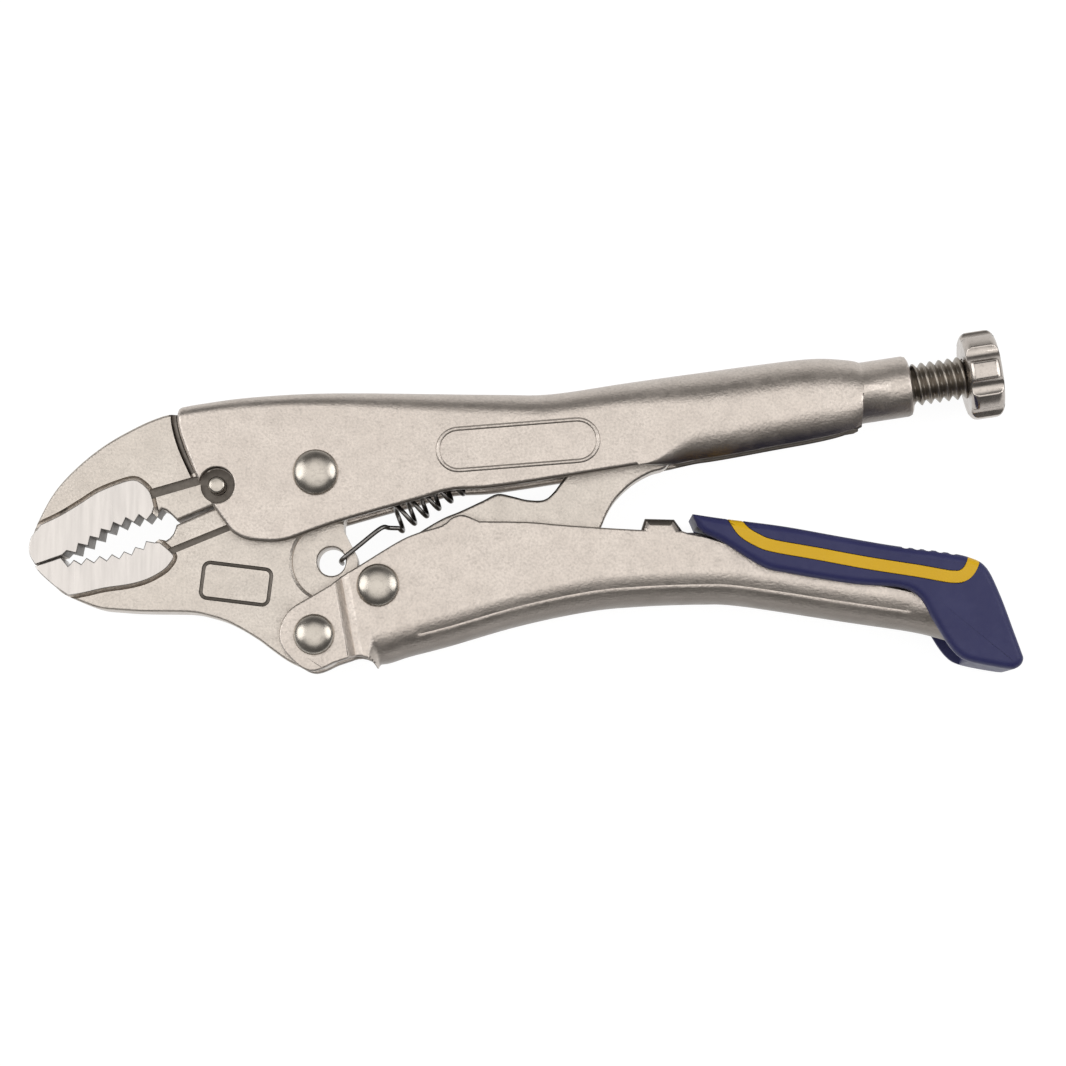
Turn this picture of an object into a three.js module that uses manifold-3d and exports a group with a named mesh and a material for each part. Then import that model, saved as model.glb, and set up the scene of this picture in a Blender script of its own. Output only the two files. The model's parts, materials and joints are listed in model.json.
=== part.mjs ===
// Locking pliers with a curved jaw, lying flat: +X towards the adjusting knob, +Y from the lower
// handle to the upper handle, +Z up through the thickness. Millimetres. Outlines are drawn about the
// mid-plane z = 0, and the finished group is lifted and centred so that it stands on its own origin.
import * as THREE from 'three';
import { mergeVertices } from 'three/addons/utils/BufferGeometryUtils.js';
import Module from 'manifold-3d';

const wasm = await Module();
wasm.setup();

// ---- Driving dimensions ----------------------------------------------------------------------
const MID_HEIGHT = 7.2; // mid-plane above the surface that the rivet domes rest on
const CENTRE_SHIFT = [0.65, 0.05]; // brings the middle of the whole tool to x = y = 0

const MAIN_PIVOT = [-29.8, 3.45];
const HANDLE_PIVOT = [-29.9, -19.15];
const LINK_PIVOT = [-21.1, -12.25];
const SPRING_HOLE = [-27.7, -8.8];
const JAW_PIN = [-43.6, 1.7];

const JAW_HALF = 3.45; // half thickness of both forged jaws
const PAD_HALF = 3.7; // half thickness of their ground gripping pads
const RECESS_HALF = 2.75; // half thickness of the lower jaw inside the handle
const RECESS_RADIUS = 5.4;
const SPRING_HOLE_RADIUS = 2.0;
const GROOVE_DEPTH = 0.9; // of the wire cutters' straight relief grooves
const TOOTH_COUNT = 8;
const UPPER_TOOTH_DEPTH = 1.0;
const LOWER_TOOTH_DEPTH = 0.8;

const SHEET = 1.7; // pressed sheet of the upper handle
const UPPER_HALF = 5.6; // half width of the upper handle and of the lower handle's ears
const LOWER_SHEET = 1.6;
const LOWER_HALF = 4.8; // half width of the lower handle behind the step
const STEP_LENGTH = 1.2; // length over which the ears step in to the walls
const STEP_POINT = [-26.1, -10.9]; // where the step meets the top edge
const STEP_TILT = THREE.MathUtils.degToRad(12.8);

const LINK_HALF = 2.5;
const RIVET_SHANK = 1.6;
const RIVET_HOLE = 1.9;
const PIN_RADIUS = 1.2;
const PIN_WINDOW = 2.45; // round window in the sheet around the jaw's pin
const TALL = 9; // half height of every cutting tool, past the thickest piece
const SCREW_POINT = [57.2, 16.8]; // a point on the screw's axis
const SCREW_TILT = THREE.MathUtils.degToRad(8.7);
const SCREW_RADIUS = 3.0;
const SCREW_CORE_RADIUS = 2.45;
const SCREW_PITCH = 1.27;
const COLLAR_RADIUS = 4.3;
const KNOB_RADIUS = 6.2;
const KNOB_WIDTH = 4.8;
const KNOB_LOBES = 8;
const KNOB_BEVEL = 0.7;

const GRIP_HALF = 6.9;
const GRIP_SLOT_HALF = 5.1; // half width of the slot that straddles the lower handle
const CORE_HALF = 2.9; // half thickness of the steel release lever
const STRIPE = 1.4; // thickness of the yellow layer where it shows
const WIRE_RADIUS = 0.35;
const COIL_RADIUS = 2.1;
const GAP = 0.3; // clearance between neighbouring solids

// ---- Solid helpers ---------------------------------------------------------------------------
function toSolid(geometry) {
  const bare = geometry.clone();
  bare.deleteAttribute('normal');
  bare.deleteAttribute('uv');
  const merged = mergeVertices(bare, 1e-4);
  return new wasm.Manifold(new wasm.Mesh({
    numProp: 3,
    vertProperties: Float32Array.from(merged.attributes.position.array),
    triVerts: Uint32Array.from(merged.index.array),
  }));
}

function toGeometry(solid) {
  const mesh = solid.getMesh();
  const geometry = new THREE.BufferGeometry();
  geometry.setAttribute('position', new THREE.BufferAttribute(Float32Array.from(mesh.vertProperties), 3));
  geometry.setIndex(new THREE.BufferAttribute(Uint32Array.from(mesh.triVerts), 1));
  geometry.computeVertexNormals();
  return geometry;
}

// A closed outline: number pairs are corners, and a nested list is a smooth run through its points.
function outline(runs) {
  const shape = new THREE.Shape();
  runs.forEach((run, i) => {
    const smooth = Array.isArray(run[0]);
    const first = smooth ? run[0] : run;
    if (i === 0) shape.moveTo(...first);
    else shape.lineTo(...first);
    if (smooth) shape.splineThru(run.slice(1).map((p) => new THREE.Vector2(...p)));
  });
  return shape;
}

// A plate of an outline between two heights.
function plate(shape, low, high, segments = 3) {
  const geometry = new THREE.ExtrudeGeometry(shape, {
    depth: high - low, bevelEnabled: false, curveSegments: segments, steps: 1,
  });
  geometry.translate(0, 0, low);
  return toSolid(geometry);
}

function slab(runs, half, segments = 3) {
  return plate(outline(runs), -half, half, segments);
}

function disc(centre, radius, low, high, sides = 28) {
  const geometry = new THREE.CylinderGeometry(radius, radius, high - low, sides);
  geometry.rotateX(Math.PI / 2);
  geometry.translate(centre[0], centre[1], (low + high) / 2);
  return toSolid(geometry);
}

// Both sides at once, for cuts and lands that mirror across the mid-plane.
function bothSides(make, low, high) {
  return make(low, high).add(make(-high, -low));
}

// A strip of given width from a to b, for grooves.
function strip(a, b, width, low, high) {
  const length = Math.hypot(b[0] - a[0], b[1] - a[1]);
  const geometry = new THREE.BoxGeometry(length, width, high - low);
  geometry.rotateZ(Math.atan2(b[1] - a[1], b[0] - a[0]));
  geometry.translate((a[0] + b[0]) / 2, (a[1] + b[1]) / 2, (low + high) / 2);
  return toSolid(geometry);
}

// A smooth value along X through control pairs [x, value].
function along(pairs) {
  const curve = new THREE.SplineCurve(pairs.map((p) => new THREE.Vector2(...p)));
  const samples = curve.getPoints(pairs.length * 12);
  return (x) => {
    const after = samples.findIndex((p) => p.x >= x);
    if (after === -1) return samples.at(-1).y;
    if (after === 0) return samples[0].y;
    const [a, b] = [samples[after - 1], samples[after]];
    return a.y + (b.y - a.y) * ((x - a.x) / (b.x - a.x));
  };
}

// One closed ring of a channel's cross-section at x, with rounded top and bottom corners.
function sectionRing(x, top, bottom, half, topRadius, bottomRadius) {
  const ring = [];
  const corner = (y, z, radius, start) => {
    const steps = 4;
    for (let i = 0; i <= steps; i += 1) {
      const a = start - (Math.PI / 2) * (i / steps);
      ring.push([x, y + radius * Math.sin(a), z + radius * Math.cos(a)]);
    }
  };
  corner(top - topRadius, half - topRadius, topRadius, Math.PI / 2);
  corner(bottom + bottomRadius, half - bottomRadius, bottomRadius, 0);
  corner(bottom + bottomRadius, bottomRadius - half, bottomRadius, -Math.PI / 2);
  corner(top - topRadius, topRadius - half, topRadius, Math.PI);
  return ring;
}

// A solid through rings of equal length, capped at both ends.
function loft(rings) {
  const count = rings[0].length;
  const positions = rings.flat(2);
  const faces = [];
  for (let r = 0; r < rings.length - 1; r += 1) {
    for (let i = 0; i < count; i += 1) {
      const j = (i + 1) % count;
      const [a, b, c, d] = [r * count + i, r * count + j, (r + 1) * count + i, (r + 1) * count + j];
      faces.push(a, b, c, b, d, c);
    }
  }
  const last = (rings.length - 1) * count;
  for (let i = 1; i < count - 1; i += 1) {
    faces.push(0, i + 1, i);
    faces.push(last, last + i, last + i + 1);
  }
  const geometry = new THREE.BufferGeometry();
  geometry.setAttribute('position', new THREE.Float32BufferAttribute(positions, 3));
  geometry.setIndex(faces);
  return toSolid(geometry);
}

function channel(stations, at) {
  return loft(stations.map((x) => sectionRing(x, ...at(x))));
}

function spread(from, to, count) {
  return Array.from({ length: count + 1 }, (_, i) => from + ((to - from) * i) / count);
}

// Moves a solid built on the Z axis to lie along the screw's axis, start at the given distance.
function onScrewAxis(geometry, distance) {
  geometry.rotateZ(-Math.PI / 2);
  geometry.translate(distance, 0, 0);
  geometry.rotateZ(SCREW_TILT);
  geometry.translate(SCREW_POINT[0], SCREW_POINT[1], 0);
  return toSolid(geometry);
}

// A solid of revolution along the screw's axis, from [distance, radius] pairs that start on the axis.
function screwLathe(pairs, sides) {
  const profile = pairs.map(([distance, radius]) => new THREE.Vector2(radius, distance));
  return onScrewAxis(new THREE.LatheGeometry(profile, sides), 0);
}

// ---- Upper handle: a pressed channel that closes to a tube and a threaded collar -------------
const upperTop = along([
  [-49.5, 12.5], [-46, 13.2], [-38.4, 14.2], [-26.7, 14.8], [-5, 14.7], [3, 14.8],
  [13.5, 16.4], [22.6, 17.8], [31.8, 19.1], [40, 20], [45, 19.8], [46.6, 19.4],
]);
const upperTopRadius = along([[-49.5, 1.5], [-30, 2], [-8, 3.3], [15, 3.8], [25, 5], [45, 4.9], [46.6, 4.7]]);
const upperBottom = along([[18, 4.1], [25.6, 5.3], [34.7, 7], [42.3, 8.4], [46.6, 9.4]]);
const TUBE_START = 19;
const TUBE_END = 46.6;
const tubeBlend = (x) => THREE.MathUtils.smoothstep(x, 8, 26);
const upperHalfWidth = (x) => UPPER_HALF - 0.6 * THREE.MathUtils.smoothstep(x, 40, TUBE_END);

function upperLowRadius(x) {
  return 0.1 + 4.7 * tubeBlend(x);
}

function upperOuter(x) {
  const low = x < TUBE_START ? upperBottom(TUBE_START) - 14 * (1 - tubeBlend(x)) : upperBottom(x);
  return [upperTop(x), low, upperHalfWidth(x), upperTopRadius(x), upperLowRadius(x)];
}

function upperInner(x) {
  const [top, low, half, topRadius, lowRadius] = upperOuter(x);
  const shrink = (radius) => Math.max(radius - SHEET, 0.1);
  return [top - SHEET, low + SHEET * tubeBlend(x), half - SHEET, shrink(topRadius), shrink(lowRadius)];
}

const upperSide = () => slab([
  [[-49.05, 12.9], [-49.1, 10.4], [-48.2, 7.2], [-46.4, 2], [-44, -1.5], [-42.3, -3.7], [-41.2, -5],
    [-38.8, -6], [-34.5, -6.1], [-30, -4.6], [-25.8, -3.2], [-15.6, -0.3], [-11, 1], [-5.1, 1.4],
    [4.8, 2.9], [15.4, 4.6], [19.5, 5.1]],
  [22, 2], [48, 2], [48, 26], [-49.05, 26],
], TALL, 2);

function upperSlot() {
  const stations = [-52, 14, 17, 20, 24, 44];
  const slotHalf = (x) => THREE.MathUtils.lerp(UPPER_HALF - SHEET, 2.1, THREE.MathUtils.smoothstep(x, 14, 24));
  return channel(stations, (x) => [upperOuter(x)[1] + 2.6, -12, slotHalf(x), 0.1, 0.1]);
}

function upperHandle() {
  const outer = channel([...spread(-50, 7, 8), ...spread(10.5, TUBE_END, 10)], upperOuter);
  const inner = channel([...spread(-52, 7, 8), ...spread(10.5, 44, 9)], upperInner);
  const collar = screwLathe([[-12, 0], [-12, COLLAR_RADIUS - 0.1], [-11, COLLAR_RADIUS],
    [-4, COLLAR_RADIUS], [-3.6, COLLAR_RADIUS - 0.4], [-3.6, 0]], 32);
  const bore = screwLathe([[-26, 0], [-26, SCREW_RADIUS + GAP], [0, SCREW_RADIUS + GAP], [0, 0]], 28);
  return outer.intersect(upperSide()).subtract(inner).subtract(upperSlot()).add(collar).subtract(bore)
    .subtract(disc(MAIN_PIVOT, RIVET_HOLE, -TALL, TALL))
    .subtract(disc(JAW_PIN, PIN_WINDOW, -TALL, TALL));
}

// ---- Jaws ------------------------------------------------------------------------------------
// Zigzag points: valleys on the curve, tips half way between them and off it by depth.
function teeth(valleys, depth, side) {
  const curve = new THREE.SplineCurve(valleys.map((p) => new THREE.Vector2(...p)));
  const points = [];
  for (let i = 0; i < TOOTH_COUNT; i += 1) {
    const valley = curve.getPointAt(i / (TOOTH_COUNT - 1));
    points.push([valley.x, valley.y]);
    if (i === TOOTH_COUNT - 1) break;
    const u = (i + 0.5) / (TOOTH_COUNT - 1);
    const tip = curve.getPointAt(u);
    const tangent = curve.getTangentAt(u);
    points.push([tip.x - tangent.y * depth * side, tip.y + tangent.x * depth * side]);
  }
  return points;
}

const UPPER_TEETH = [[-64.6, -7.35], [-61.6, -5.5], [-58.6, -3.6], [-55.6, -2.5], [-52.7, -2.05]];
const LOWER_TEETH = [[-64.4, -9.55], [-60.8, -9.0], [-57.1, -8.4], [-54.4, -7.4], [-52.4, -6.2]];
const UPPER_JAW_TOP = [[-69.9, -6.6], [-68.7, -3.3], [-66.5, 0.8], [-63.4, 4.3], [-59.3, 7.6],
  [-54.5, 10.3], [-51.3, 11.6], [-50.2, 11.8]];
const LOWER_JAW_BOTTOM = [[-37.6, -19.9], [-39.7, -18.6], [-42.2, -17.3], [-44.7, -16.5], [-47.4, -16],
  [-53.7, -15.9], [-57.2, -15.7], [-60.4, -15.3], [-64.6, -13.6], [-66.3, -12.3], [-68.1, -10.7],
  [-68.95, -9.7]];

function upperPad() {
  return slab([
    [-69.0, -9.3], [-65.2, -7.95], ...teeth(UPPER_TEETH, UPPER_TOOTH_DEPTH, -1), [-52.5, -1.2],
    [[-53.1, 0.9], [-54.2, 2.1], [-55.4, 2.6], [-57.4, 2.1], [-60.3, 0.9], [-62.8, -0.7], [-65.6, -2.4],
      [-68.3, -3.7]],
    [[-69.6, -5.4], [-69.9, -6.6], [-69.75, -8], [-69.0, -9.3]],
  ], PAD_HALF);
}

function upperJaw() {
  const body = slab([
    [-69.0, -9.3], [-65.2, -7.95], ...teeth(UPPER_TEETH, UPPER_TOOTH_DEPTH, -1),
    [[-52.1, -2.6], [-51.4, -1.5], [-50.2, -2.2], [-49.3, -3.1]],
    [-44.4, -1.1], [-37.4, 1.8],
    [[-36.2, 3.2], [-36.0, 5.5], [-37.4, 10]],
    [-49.8, 9.9], [-49.9, 11.7],
    [...UPPER_JAW_TOP].reverse(),
    [[-69.9, -6.8], [-69.7, -8.2], [-69.02, -9.3]],
  ], JAW_HALF);
  const groove = (low, high) => strip([-53.4, 0.65], [-44.5, 3.75], 1.3, low, high);
  return body.add(upperPad())
    .subtract(bothSides(groove, JAW_HALF - GROOVE_DEPTH, TALL))
    .subtract(disc(JAW_PIN, PIN_RADIUS + GAP, -TALL, TALL));
}

function lowerPad() {
  return slab([
    [-69.0, -9.55], [-65.4, -8.3], ...teeth(LOWER_TEETH, LOWER_TOOTH_DEPTH, 1), [-51.6, -6.2],
    [[-50.2, -7.4], [-49.7, -8.2], [-50.2, -9.2], [-51.2, -10.2], [-53.4, -11.4], [-55.9, -12.1],
      [-59.3, -12.6], [-61.9, -13.2], [-64.3, -13.65]],
    [[-66.3, -12.3], [-68.1, -10.7], [-68.95, -9.7]],
  ], PAD_HALF);
}

function lowerJaw() {
  const body = slab([
    [-69.0, -9.55], [-65.4, -8.3], ...teeth(LOWER_TEETH, LOWER_TOOTH_DEPTH, 1),
    [[-51.8, -5.7], [-50.8, -5.9], [-49.8, -5.0], [-49.35, -3.7]],
    [-44.6, -1.65], [-37.6, 1.2],
    [[-34.9, 2.6], [-34.6, 5.6], [-32.2, 8.1], [-29.3, 8.65], [-26.4, 7.4], [-24.7, 4.4], [-25, 0],
      [-26, -3.8], [-25.4, -5.7], [-24.2, -8.0], [-24.15, -9.6], [-25.2, -13], [-25.2, -17],
      [-25.4, -20.4], [-27.6, -23.1], [-30.4, -23.75], [-33.4, -22.9], [-37.6, -19.9]],
    [...LOWER_JAW_BOTTOM],
  ], JAW_HALF);
  const groove = (low, high) => strip([-51, -7.75], [-39.5, -3.05], 0.95, low, high);
  const recess = (low, high) => disc(SPRING_HOLE, RECESS_RADIUS, low, high, 40);
  return body.add(lowerPad())
    .subtract(bothSides(groove, JAW_HALF - GROOVE_DEPTH, TALL))
    .subtract(bothSides(recess, RECESS_HALF, TALL))
    .subtract(disc(SPRING_HOLE, SPRING_HOLE_RADIUS, -TALL, TALL))
    .subtract(disc(MAIN_PIVOT, RIVET_HOLE, -TALL, TALL))
    .subtract(disc(HANDLE_PIVOT, RIVET_HOLE, -TALL, TALL));
}

// ---- Rivets and pin --------------------------------------------------------------------------
// A domed rivet through a stack of the given half thickness.
function rivet(centre, half, headRadius, headHeight) {
  const face = half + 0.05;
  const dome = (side) => spread(0, Math.PI / 2, 5).map((a) => new THREE.Vector2(
    headRadius * Math.sin(a),
    side * (face + 0.25 + (headHeight - 0.25) * Math.cos(a)),
  ));
  const upper = dome(1).reverse();
  upper.at(-1).x = 0;
  const lower = dome(-1);
  lower[0].x = 0;
  const profile = [...lower, new THREE.Vector2(headRadius, -face), new THREE.Vector2(RIVET_SHANK, -face),
    new THREE.Vector2(RIVET_SHANK, face), new THREE.Vector2(headRadius, face), ...upper];
  const geometry = new THREE.LatheGeometry(profile, 20);
  geometry.rotateX(Math.PI / 2);
  geometry.translate(centre[0], centre[1], 0);
  return toSolid(geometry);
}

// ---- Lower handle: ears, a step inwards, and a channel open towards the upper handle ---------
const lowerBottom = along([
  [-28, -22.2], [-24.5, -22.5], [-20.5, -23.1], [-16.5, -22], [-11.3, -20.6], [-1.3, -17.7],
  [8.3, -15.7], [15.4, -15.0], [23.8, -14.7], [29.7, -14.95], [43.9, -17.1], [53.9, -18.6], [59, -19.9],
]);
const LOWER_END = 58.9;
const LOWER_RADIUS = 4.6;

const EAR_ARC = [[-27.1, -23.1], [-29.3, -24.1], [-30.8, -24.15], [-32.4, -23.2], [-34.3, -21],
  [-34.75, -18.6], [-33.4, -15.8], [-30.3, -13.8], [-27.6, -12.2]];
const LOWER_TOP = [[-26.1, -10.9], [-23.9, -9.6], [-18.4, -6.2], [-15.5, -4.9], [-12.2, -3.9]];
const TOP_BUMP = [[-12.2, -3.9], [-10.8, -2.8], [-9.4, -2.4], [-8.1, -2.8], [-7, -3.3]];
const TOP_MIDDLE = [[-7, -3.3], [-0.3, -3.4], [4.5, -3.8], [10.1, -4.2], [15.4, -4.5]];
const WALL_FOOT = [[-20.2, -18.6], [-23, -20.8], [-24.5, -22.3]];
const TOP_REAR = [[21, -4.4], [22.3, -5], [24.9, -5.5], [28, -6.5], [30.7, -7.5], [33.7, -8.9],
  [37.4, -9.85], [45, -11.4], [52, -12.75], [57.6, -14.2]];

const lowerSide = () => slab([
  EAR_ARC, LOWER_TOP, TOP_BUMP.slice(1), TOP_MIDDLE.slice(1), TOP_REAR,
  [[58.6, -15.2], [LOWER_END, -16.4]], [LOWER_END, -26], [-23.5, -26], [-24.5, -22.3],
], TALL, 2);

// Two walls whose gap and width step in across the step line, before they are cut to outline.
function steppedWalls() {
  const wall = (side) => {
    const profile = new THREE.Shape();
    const inner = [UPPER_HALF - SHEET - 0.05, LOWER_HALF - LOWER_SHEET];
    const points = [[-14, UPPER_HALF], [0, UPPER_HALF], [STEP_LENGTH, LOWER_HALF], [3.4, LOWER_HALF],
      [3.4, inner[1]], [STEP_LENGTH, inner[1]], [0, inner[0]], [-14, inner[0]]];
    points.forEach(([x, z], i) => {
      if (i === 0) profile.moveTo(x, -z * side);
      else profile.lineTo(x, -z * side);
    });
    const geometry = new THREE.ExtrudeGeometry(profile, { depth: 40, bevelEnabled: false });
    geometry.rotateX(-Math.PI / 2);
    geometry.translate(0, -20, 0);
    geometry.rotateZ(STEP_TILT);
    geometry.translate(STEP_POINT[0], STEP_POINT[1], 0);
    return toSolid(geometry);
  };
  const footing = outline([[-40, -30], [-27, -23.4], WALL_FOOT.at(-1), [...WALL_FOOT].reverse().slice(1),
    [-18, 0], [-40, 0]]);
  return wall(1).add(wall(-1)).intersect(plate(footing, -TALL, TALL));
}

function lowerHandle() {
  const outerAt = (x) => [0, lowerBottom(x), LOWER_HALF, 0.1, LOWER_RADIUS];
  const innerAt = (x) => [2, lowerBottom(x) + LOWER_SHEET, LOWER_HALF - LOWER_SHEET, 0.1,
    LOWER_RADIUS - LOWER_SHEET];
  const stations = [...spread(-28, -14, 5), ...spread(-9, LOWER_END, 12)];
  const behindStep = plate(outline([
    [STEP_POINT[0] + STEP_LENGTH - 4.54, STEP_POINT[1] + 20],
    [STEP_POINT[0] + STEP_LENGTH + 4.32, STEP_POINT[1] - 19], [80, -30], [80, 20]]), -TALL, TALL);
  const trough = channel(stations, outerAt).intersect(behindStep)
    .subtract(channel([...stations.slice(0, -1), 62], innerAt));
  const tab = plate(outline([[[16, -4.6], [16.1, -3.2], [16.9, -2.65], [20, -2.75], [20.8, -3.2],
    [21.1, -4.5]]]), -LOWER_HALF, LOWER_HALF).subtract(plate(outline([[15, -6], [22, -6], [22, -4.2],
    [15, -4.1]]), -LOWER_HALF + LOWER_SHEET, LOWER_HALF - LOWER_SHEET));
  return trough.add(steppedWalls()).intersect(lowerSide()).add(tab)
    .subtract(disc(HANDLE_PIVOT, RIVET_HOLE, -TALL, TALL))
    .subtract(disc(LINK_PIVOT, RIVET_HOLE, -TALL, TALL));
}

// ---- Toggle link -----------------------------------------------------------------------------
function toggleLink() {
  return slab([
    [[-24, -13.3], [-24.1, -11.3], [-22.7, -9.5], [-20.4, -8.6], [-16.5, -5.4], [-12.5, -2.9],
      [-9.7, -1.7], [-6.5, -0.2], [-4.5, 0.75]],
    [[-2.4, 0.4], [-0.3, -0.1], [2, -0.1], [3.4, 1], [4.8, 2.9], [7.4, 6.4], [10, 9.8], [13, 12],
      [16.4, 12.4], [19.2, 10.8], [20.3, 8.2], [20, 5.8]],
    [[18.9, 4.3], [17, 3.7], [14.4, 2.2], [12.1, 0], [10.8, -2.1], [10, -3.9], [8.4, -6.4],
      [3, -8.6], [-8, -12], [-17, -14.9], [-20.4, -15.4], [-23, -14.8]],
  ], LINK_HALF, 2).subtract(disc(LINK_PIVOT, RIVET_HOLE, -TALL, TALL));
}

// ---- Adjusting screw and knob ----------------------------------------------------------------
const TIP = -34.4; // distances along the screw's axis from SCREW_POINT
const KNOB_MIDDLE = 6.6;

function adjustingScrew() {
  const rings = [];
  const threadStart = -5;
  const turns = 6;
  for (let i = 0; i < turns; i += 1) {
    const at = threadStart + i * SCREW_PITCH;
    rings.push([at, SCREW_CORE_RADIUS], [at + SCREW_PITCH / 2, SCREW_RADIUS]);
  }
  return screwLathe([[TIP, 0], [TIP, 1.4], [TIP + 1.2, SCREW_RADIUS], [-5.6, SCREW_RADIUS], ...rings,
    [threadStart + turns * SCREW_PITCH, SCREW_CORE_RADIUS], [KNOB_MIDDLE + 1.8, SCREW_CORE_RADIUS],
    [KNOB_MIDDLE + 1.8, 0]], 24);
}

function adjustingKnob() {
  const lobes = new THREE.Shape();
  const sides = KNOB_LOBES * 8;
  for (let i = 0; i < sides; i += 1) {
    const a = (i / sides) * 2 * Math.PI;
    const dip = 0.75 * (1 - Math.abs(Math.cos((a * KNOB_LOBES) / 2))) ** 1.6;
    const reach = KNOB_RADIUS - KNOB_BEVEL - dip;
    const point = [reach * Math.cos(a), reach * Math.sin(a)];
    if (i === 0) lobes.moveTo(...point);
    else lobes.lineTo(...point);
  }
  const geometry = new THREE.ExtrudeGeometry(lobes, {
    depth: KNOB_WIDTH - 2 * KNOB_BEVEL, bevelEnabled: true, bevelThickness: KNOB_BEVEL,
    bevelSize: KNOB_BEVEL, bevelSegments: 2, curveSegments: 4,
  });
  geometry.translate(0, 0, KNOB_BEVEL - KNOB_WIDTH / 2);
  geometry.rotateX(Math.PI / 2);
  const knob = onScrewAxis(geometry, KNOB_MIDDLE);
  const socket = screwLathe([[0, 0], [0, SCREW_CORE_RADIUS + GAP], [KNOB_MIDDLE + 2.1,
    SCREW_CORE_RADIUS + GAP], [KNOB_MIDDLE + 2.1, 0]], 24);
  return knob.subtract(socket);
}

// ---- Jaw spring ------------------------------------------------------------------------------
// The coil's envelope with its two wire ends.
function jawSpring() {
  const coilStart = new THREE.Vector3(-19.6, -3.3, 0);
  const coilEnd = new THREE.Vector3(-2.3, 7.3, 0);
  const length = coilStart.distanceTo(coilEnd);
  const coil = new THREE.CylinderGeometry(COIL_RADIUS, COIL_RADIUS, length, 16);
  coil.rotateZ(-Math.PI / 2);
  coil.translate(length / 2, 0, 0);
  coil.rotateZ(Math.atan2(coilEnd.y - coilStart.y, coilEnd.x - coilStart.x));
  coil.translate(coilStart.x, coilStart.y, 0);
  const wire = (points) => {
    const section = new THREE.Shape().absarc(0, 0, WIRE_RADIUS, 0, 2 * Math.PI);
    const path = new THREE.CatmullRomCurve3(points.map((p) => new THREE.Vector3(...p)));
    return toSolid(new THREE.ExtrudeGeometry(section, { extrudePath: path, steps: 18, curveSegments: 4 }));
  };
  const frontEnd = wire([[-18.6, -3.6, 0], [-20.4, -3.5, 1.4], [-23.6, -6.3, 3.3], [-26.1, -8.3, 3.3],
    [-27.3, -8.9, 1.8], [-27.4, -8.9, -2.2]]);
  const rearEnd = wire([[-3.2, 6.6, 0], [0.4, 8.9, 0], [2.4, 11, 0], [1.2, 12.1, 0]]);
  return toSolid(coil).add(frontEnd).add(rearEnd);
}

// ---- Release lever and its two-tone grip -----------------------------------------------------
const GRIP_OUTLINE = [
  [22.6, -2.4],
  [[27.4, -3.1], [35.2, -4.1], [43.6, -5.6], [50.6, -6.8], [57, -7.6], [61, -8.4], [63.4, -9.8],
    [65.3, -13.6], [67.2, -18.8], [68.4, -22.6]],
  [[68.1, -23.4], [67.2, -23.75], [62.6, -23.2], [60, -22.7], [57.9, -20.7], [56, -17.1], [54.2, -14],
    [51.4, -12.6], [45, -12.1], [36.5, -10.7], [32.4, -9.7], [27, -6.4], [24.2, -5], [23, -3.6]],
];
const SLOT_CEILING = [[20, -2.6], [24, -4.3], [28, -5.8], [33.7, -8.1], [37.4, -8.9], [45, -10.2],
  [52, -11.3], [57.5, -12.3], [60.9, -13.4]];
const STRIPE_LINE = [[28.3, -2.8], [29.6, -4.8], [31.6, -6.1], [33.8, -6.9], [39.9, -8], [46.9, -9.3],
  [53.9, -10.4], [58.6, -11.2], [60.3, -10.9], [61.3, -9.7], [62, -7.6]];

function gripBlank() {
  const slot = plate(outline([SLOT_CEILING, [60.9, -26], [20, -26]]), -GRIP_SLOT_HALF, GRIP_SLOT_HALF);
  return slab(GRIP_OUTLINE, GRIP_HALF, 2).subtract(slot);
}

// Everything above the stripe line, grown or shrunk sideways too where the line turns up.
function stripeRegion(grow) {
  const middle = [45, -5];
  const line = STRIPE_LINE.map(([x, y]) => [x + Math.sign(x - middle[0])
    * grow * THREE.MathUtils.smoothstep(Math.abs(x - middle[0]), 9, 16), y - grow]);
  return plate(outline([line, [line.at(-1)[0] + 0.2, 2], [line[0][0] - 0.2, 2]]), -TALL, TALL);
}

function gripPad() {
  return gripBlank().intersect(stripeRegion(-STRIPE / 2 - GAP / 2));
}

function gripCore() {
  return gripBlank().intersect(stripeRegion(STRIPE / 2)).subtract(stripeRegion(-STRIPE / 2 + GAP / 2));
}

function gripBody() {
  return gripBlank().subtract(stripeRegion(STRIPE / 2 + GAP));
}

function releaseLever() {
  return slab([
    [[13.6, -6.4], [15.6, -5.1], [18.7, -4.6], [21.2, -4.75]],
    [[24, -4.9], [28, -6.4], [33.7, -8.6], [37.4, -9.4], [45, -10.7], [52, -11.8], [56.5, -12.6]],
    [[56.5, -13.1], [52, -12.7], [45, -12.1], [37.4, -11.3], [28, -9], [21, -7.3], [16, -7.3],
      [13.8, -7.2]],
  ], CORE_HALF, 2);
}

// ---- Assembly --------------------------------------------------------------------------------
const STEEL = { color: 0xc9bfb4, roughness: 0.42, metalness: 1 };
const BRIGHT = { color: 0xdedad6, roughness: 0.3, metalness: 1 };
const DARK_STEEL = { color: 0x8d8982, roughness: 0.45, metalness: 1 };
const BLUE = { color: 0x34386a, roughness: 0.55, metalness: 0 };
const YELLOW = { color: 0xe0b020, roughness: 0.5, metalness: 0 };

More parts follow.
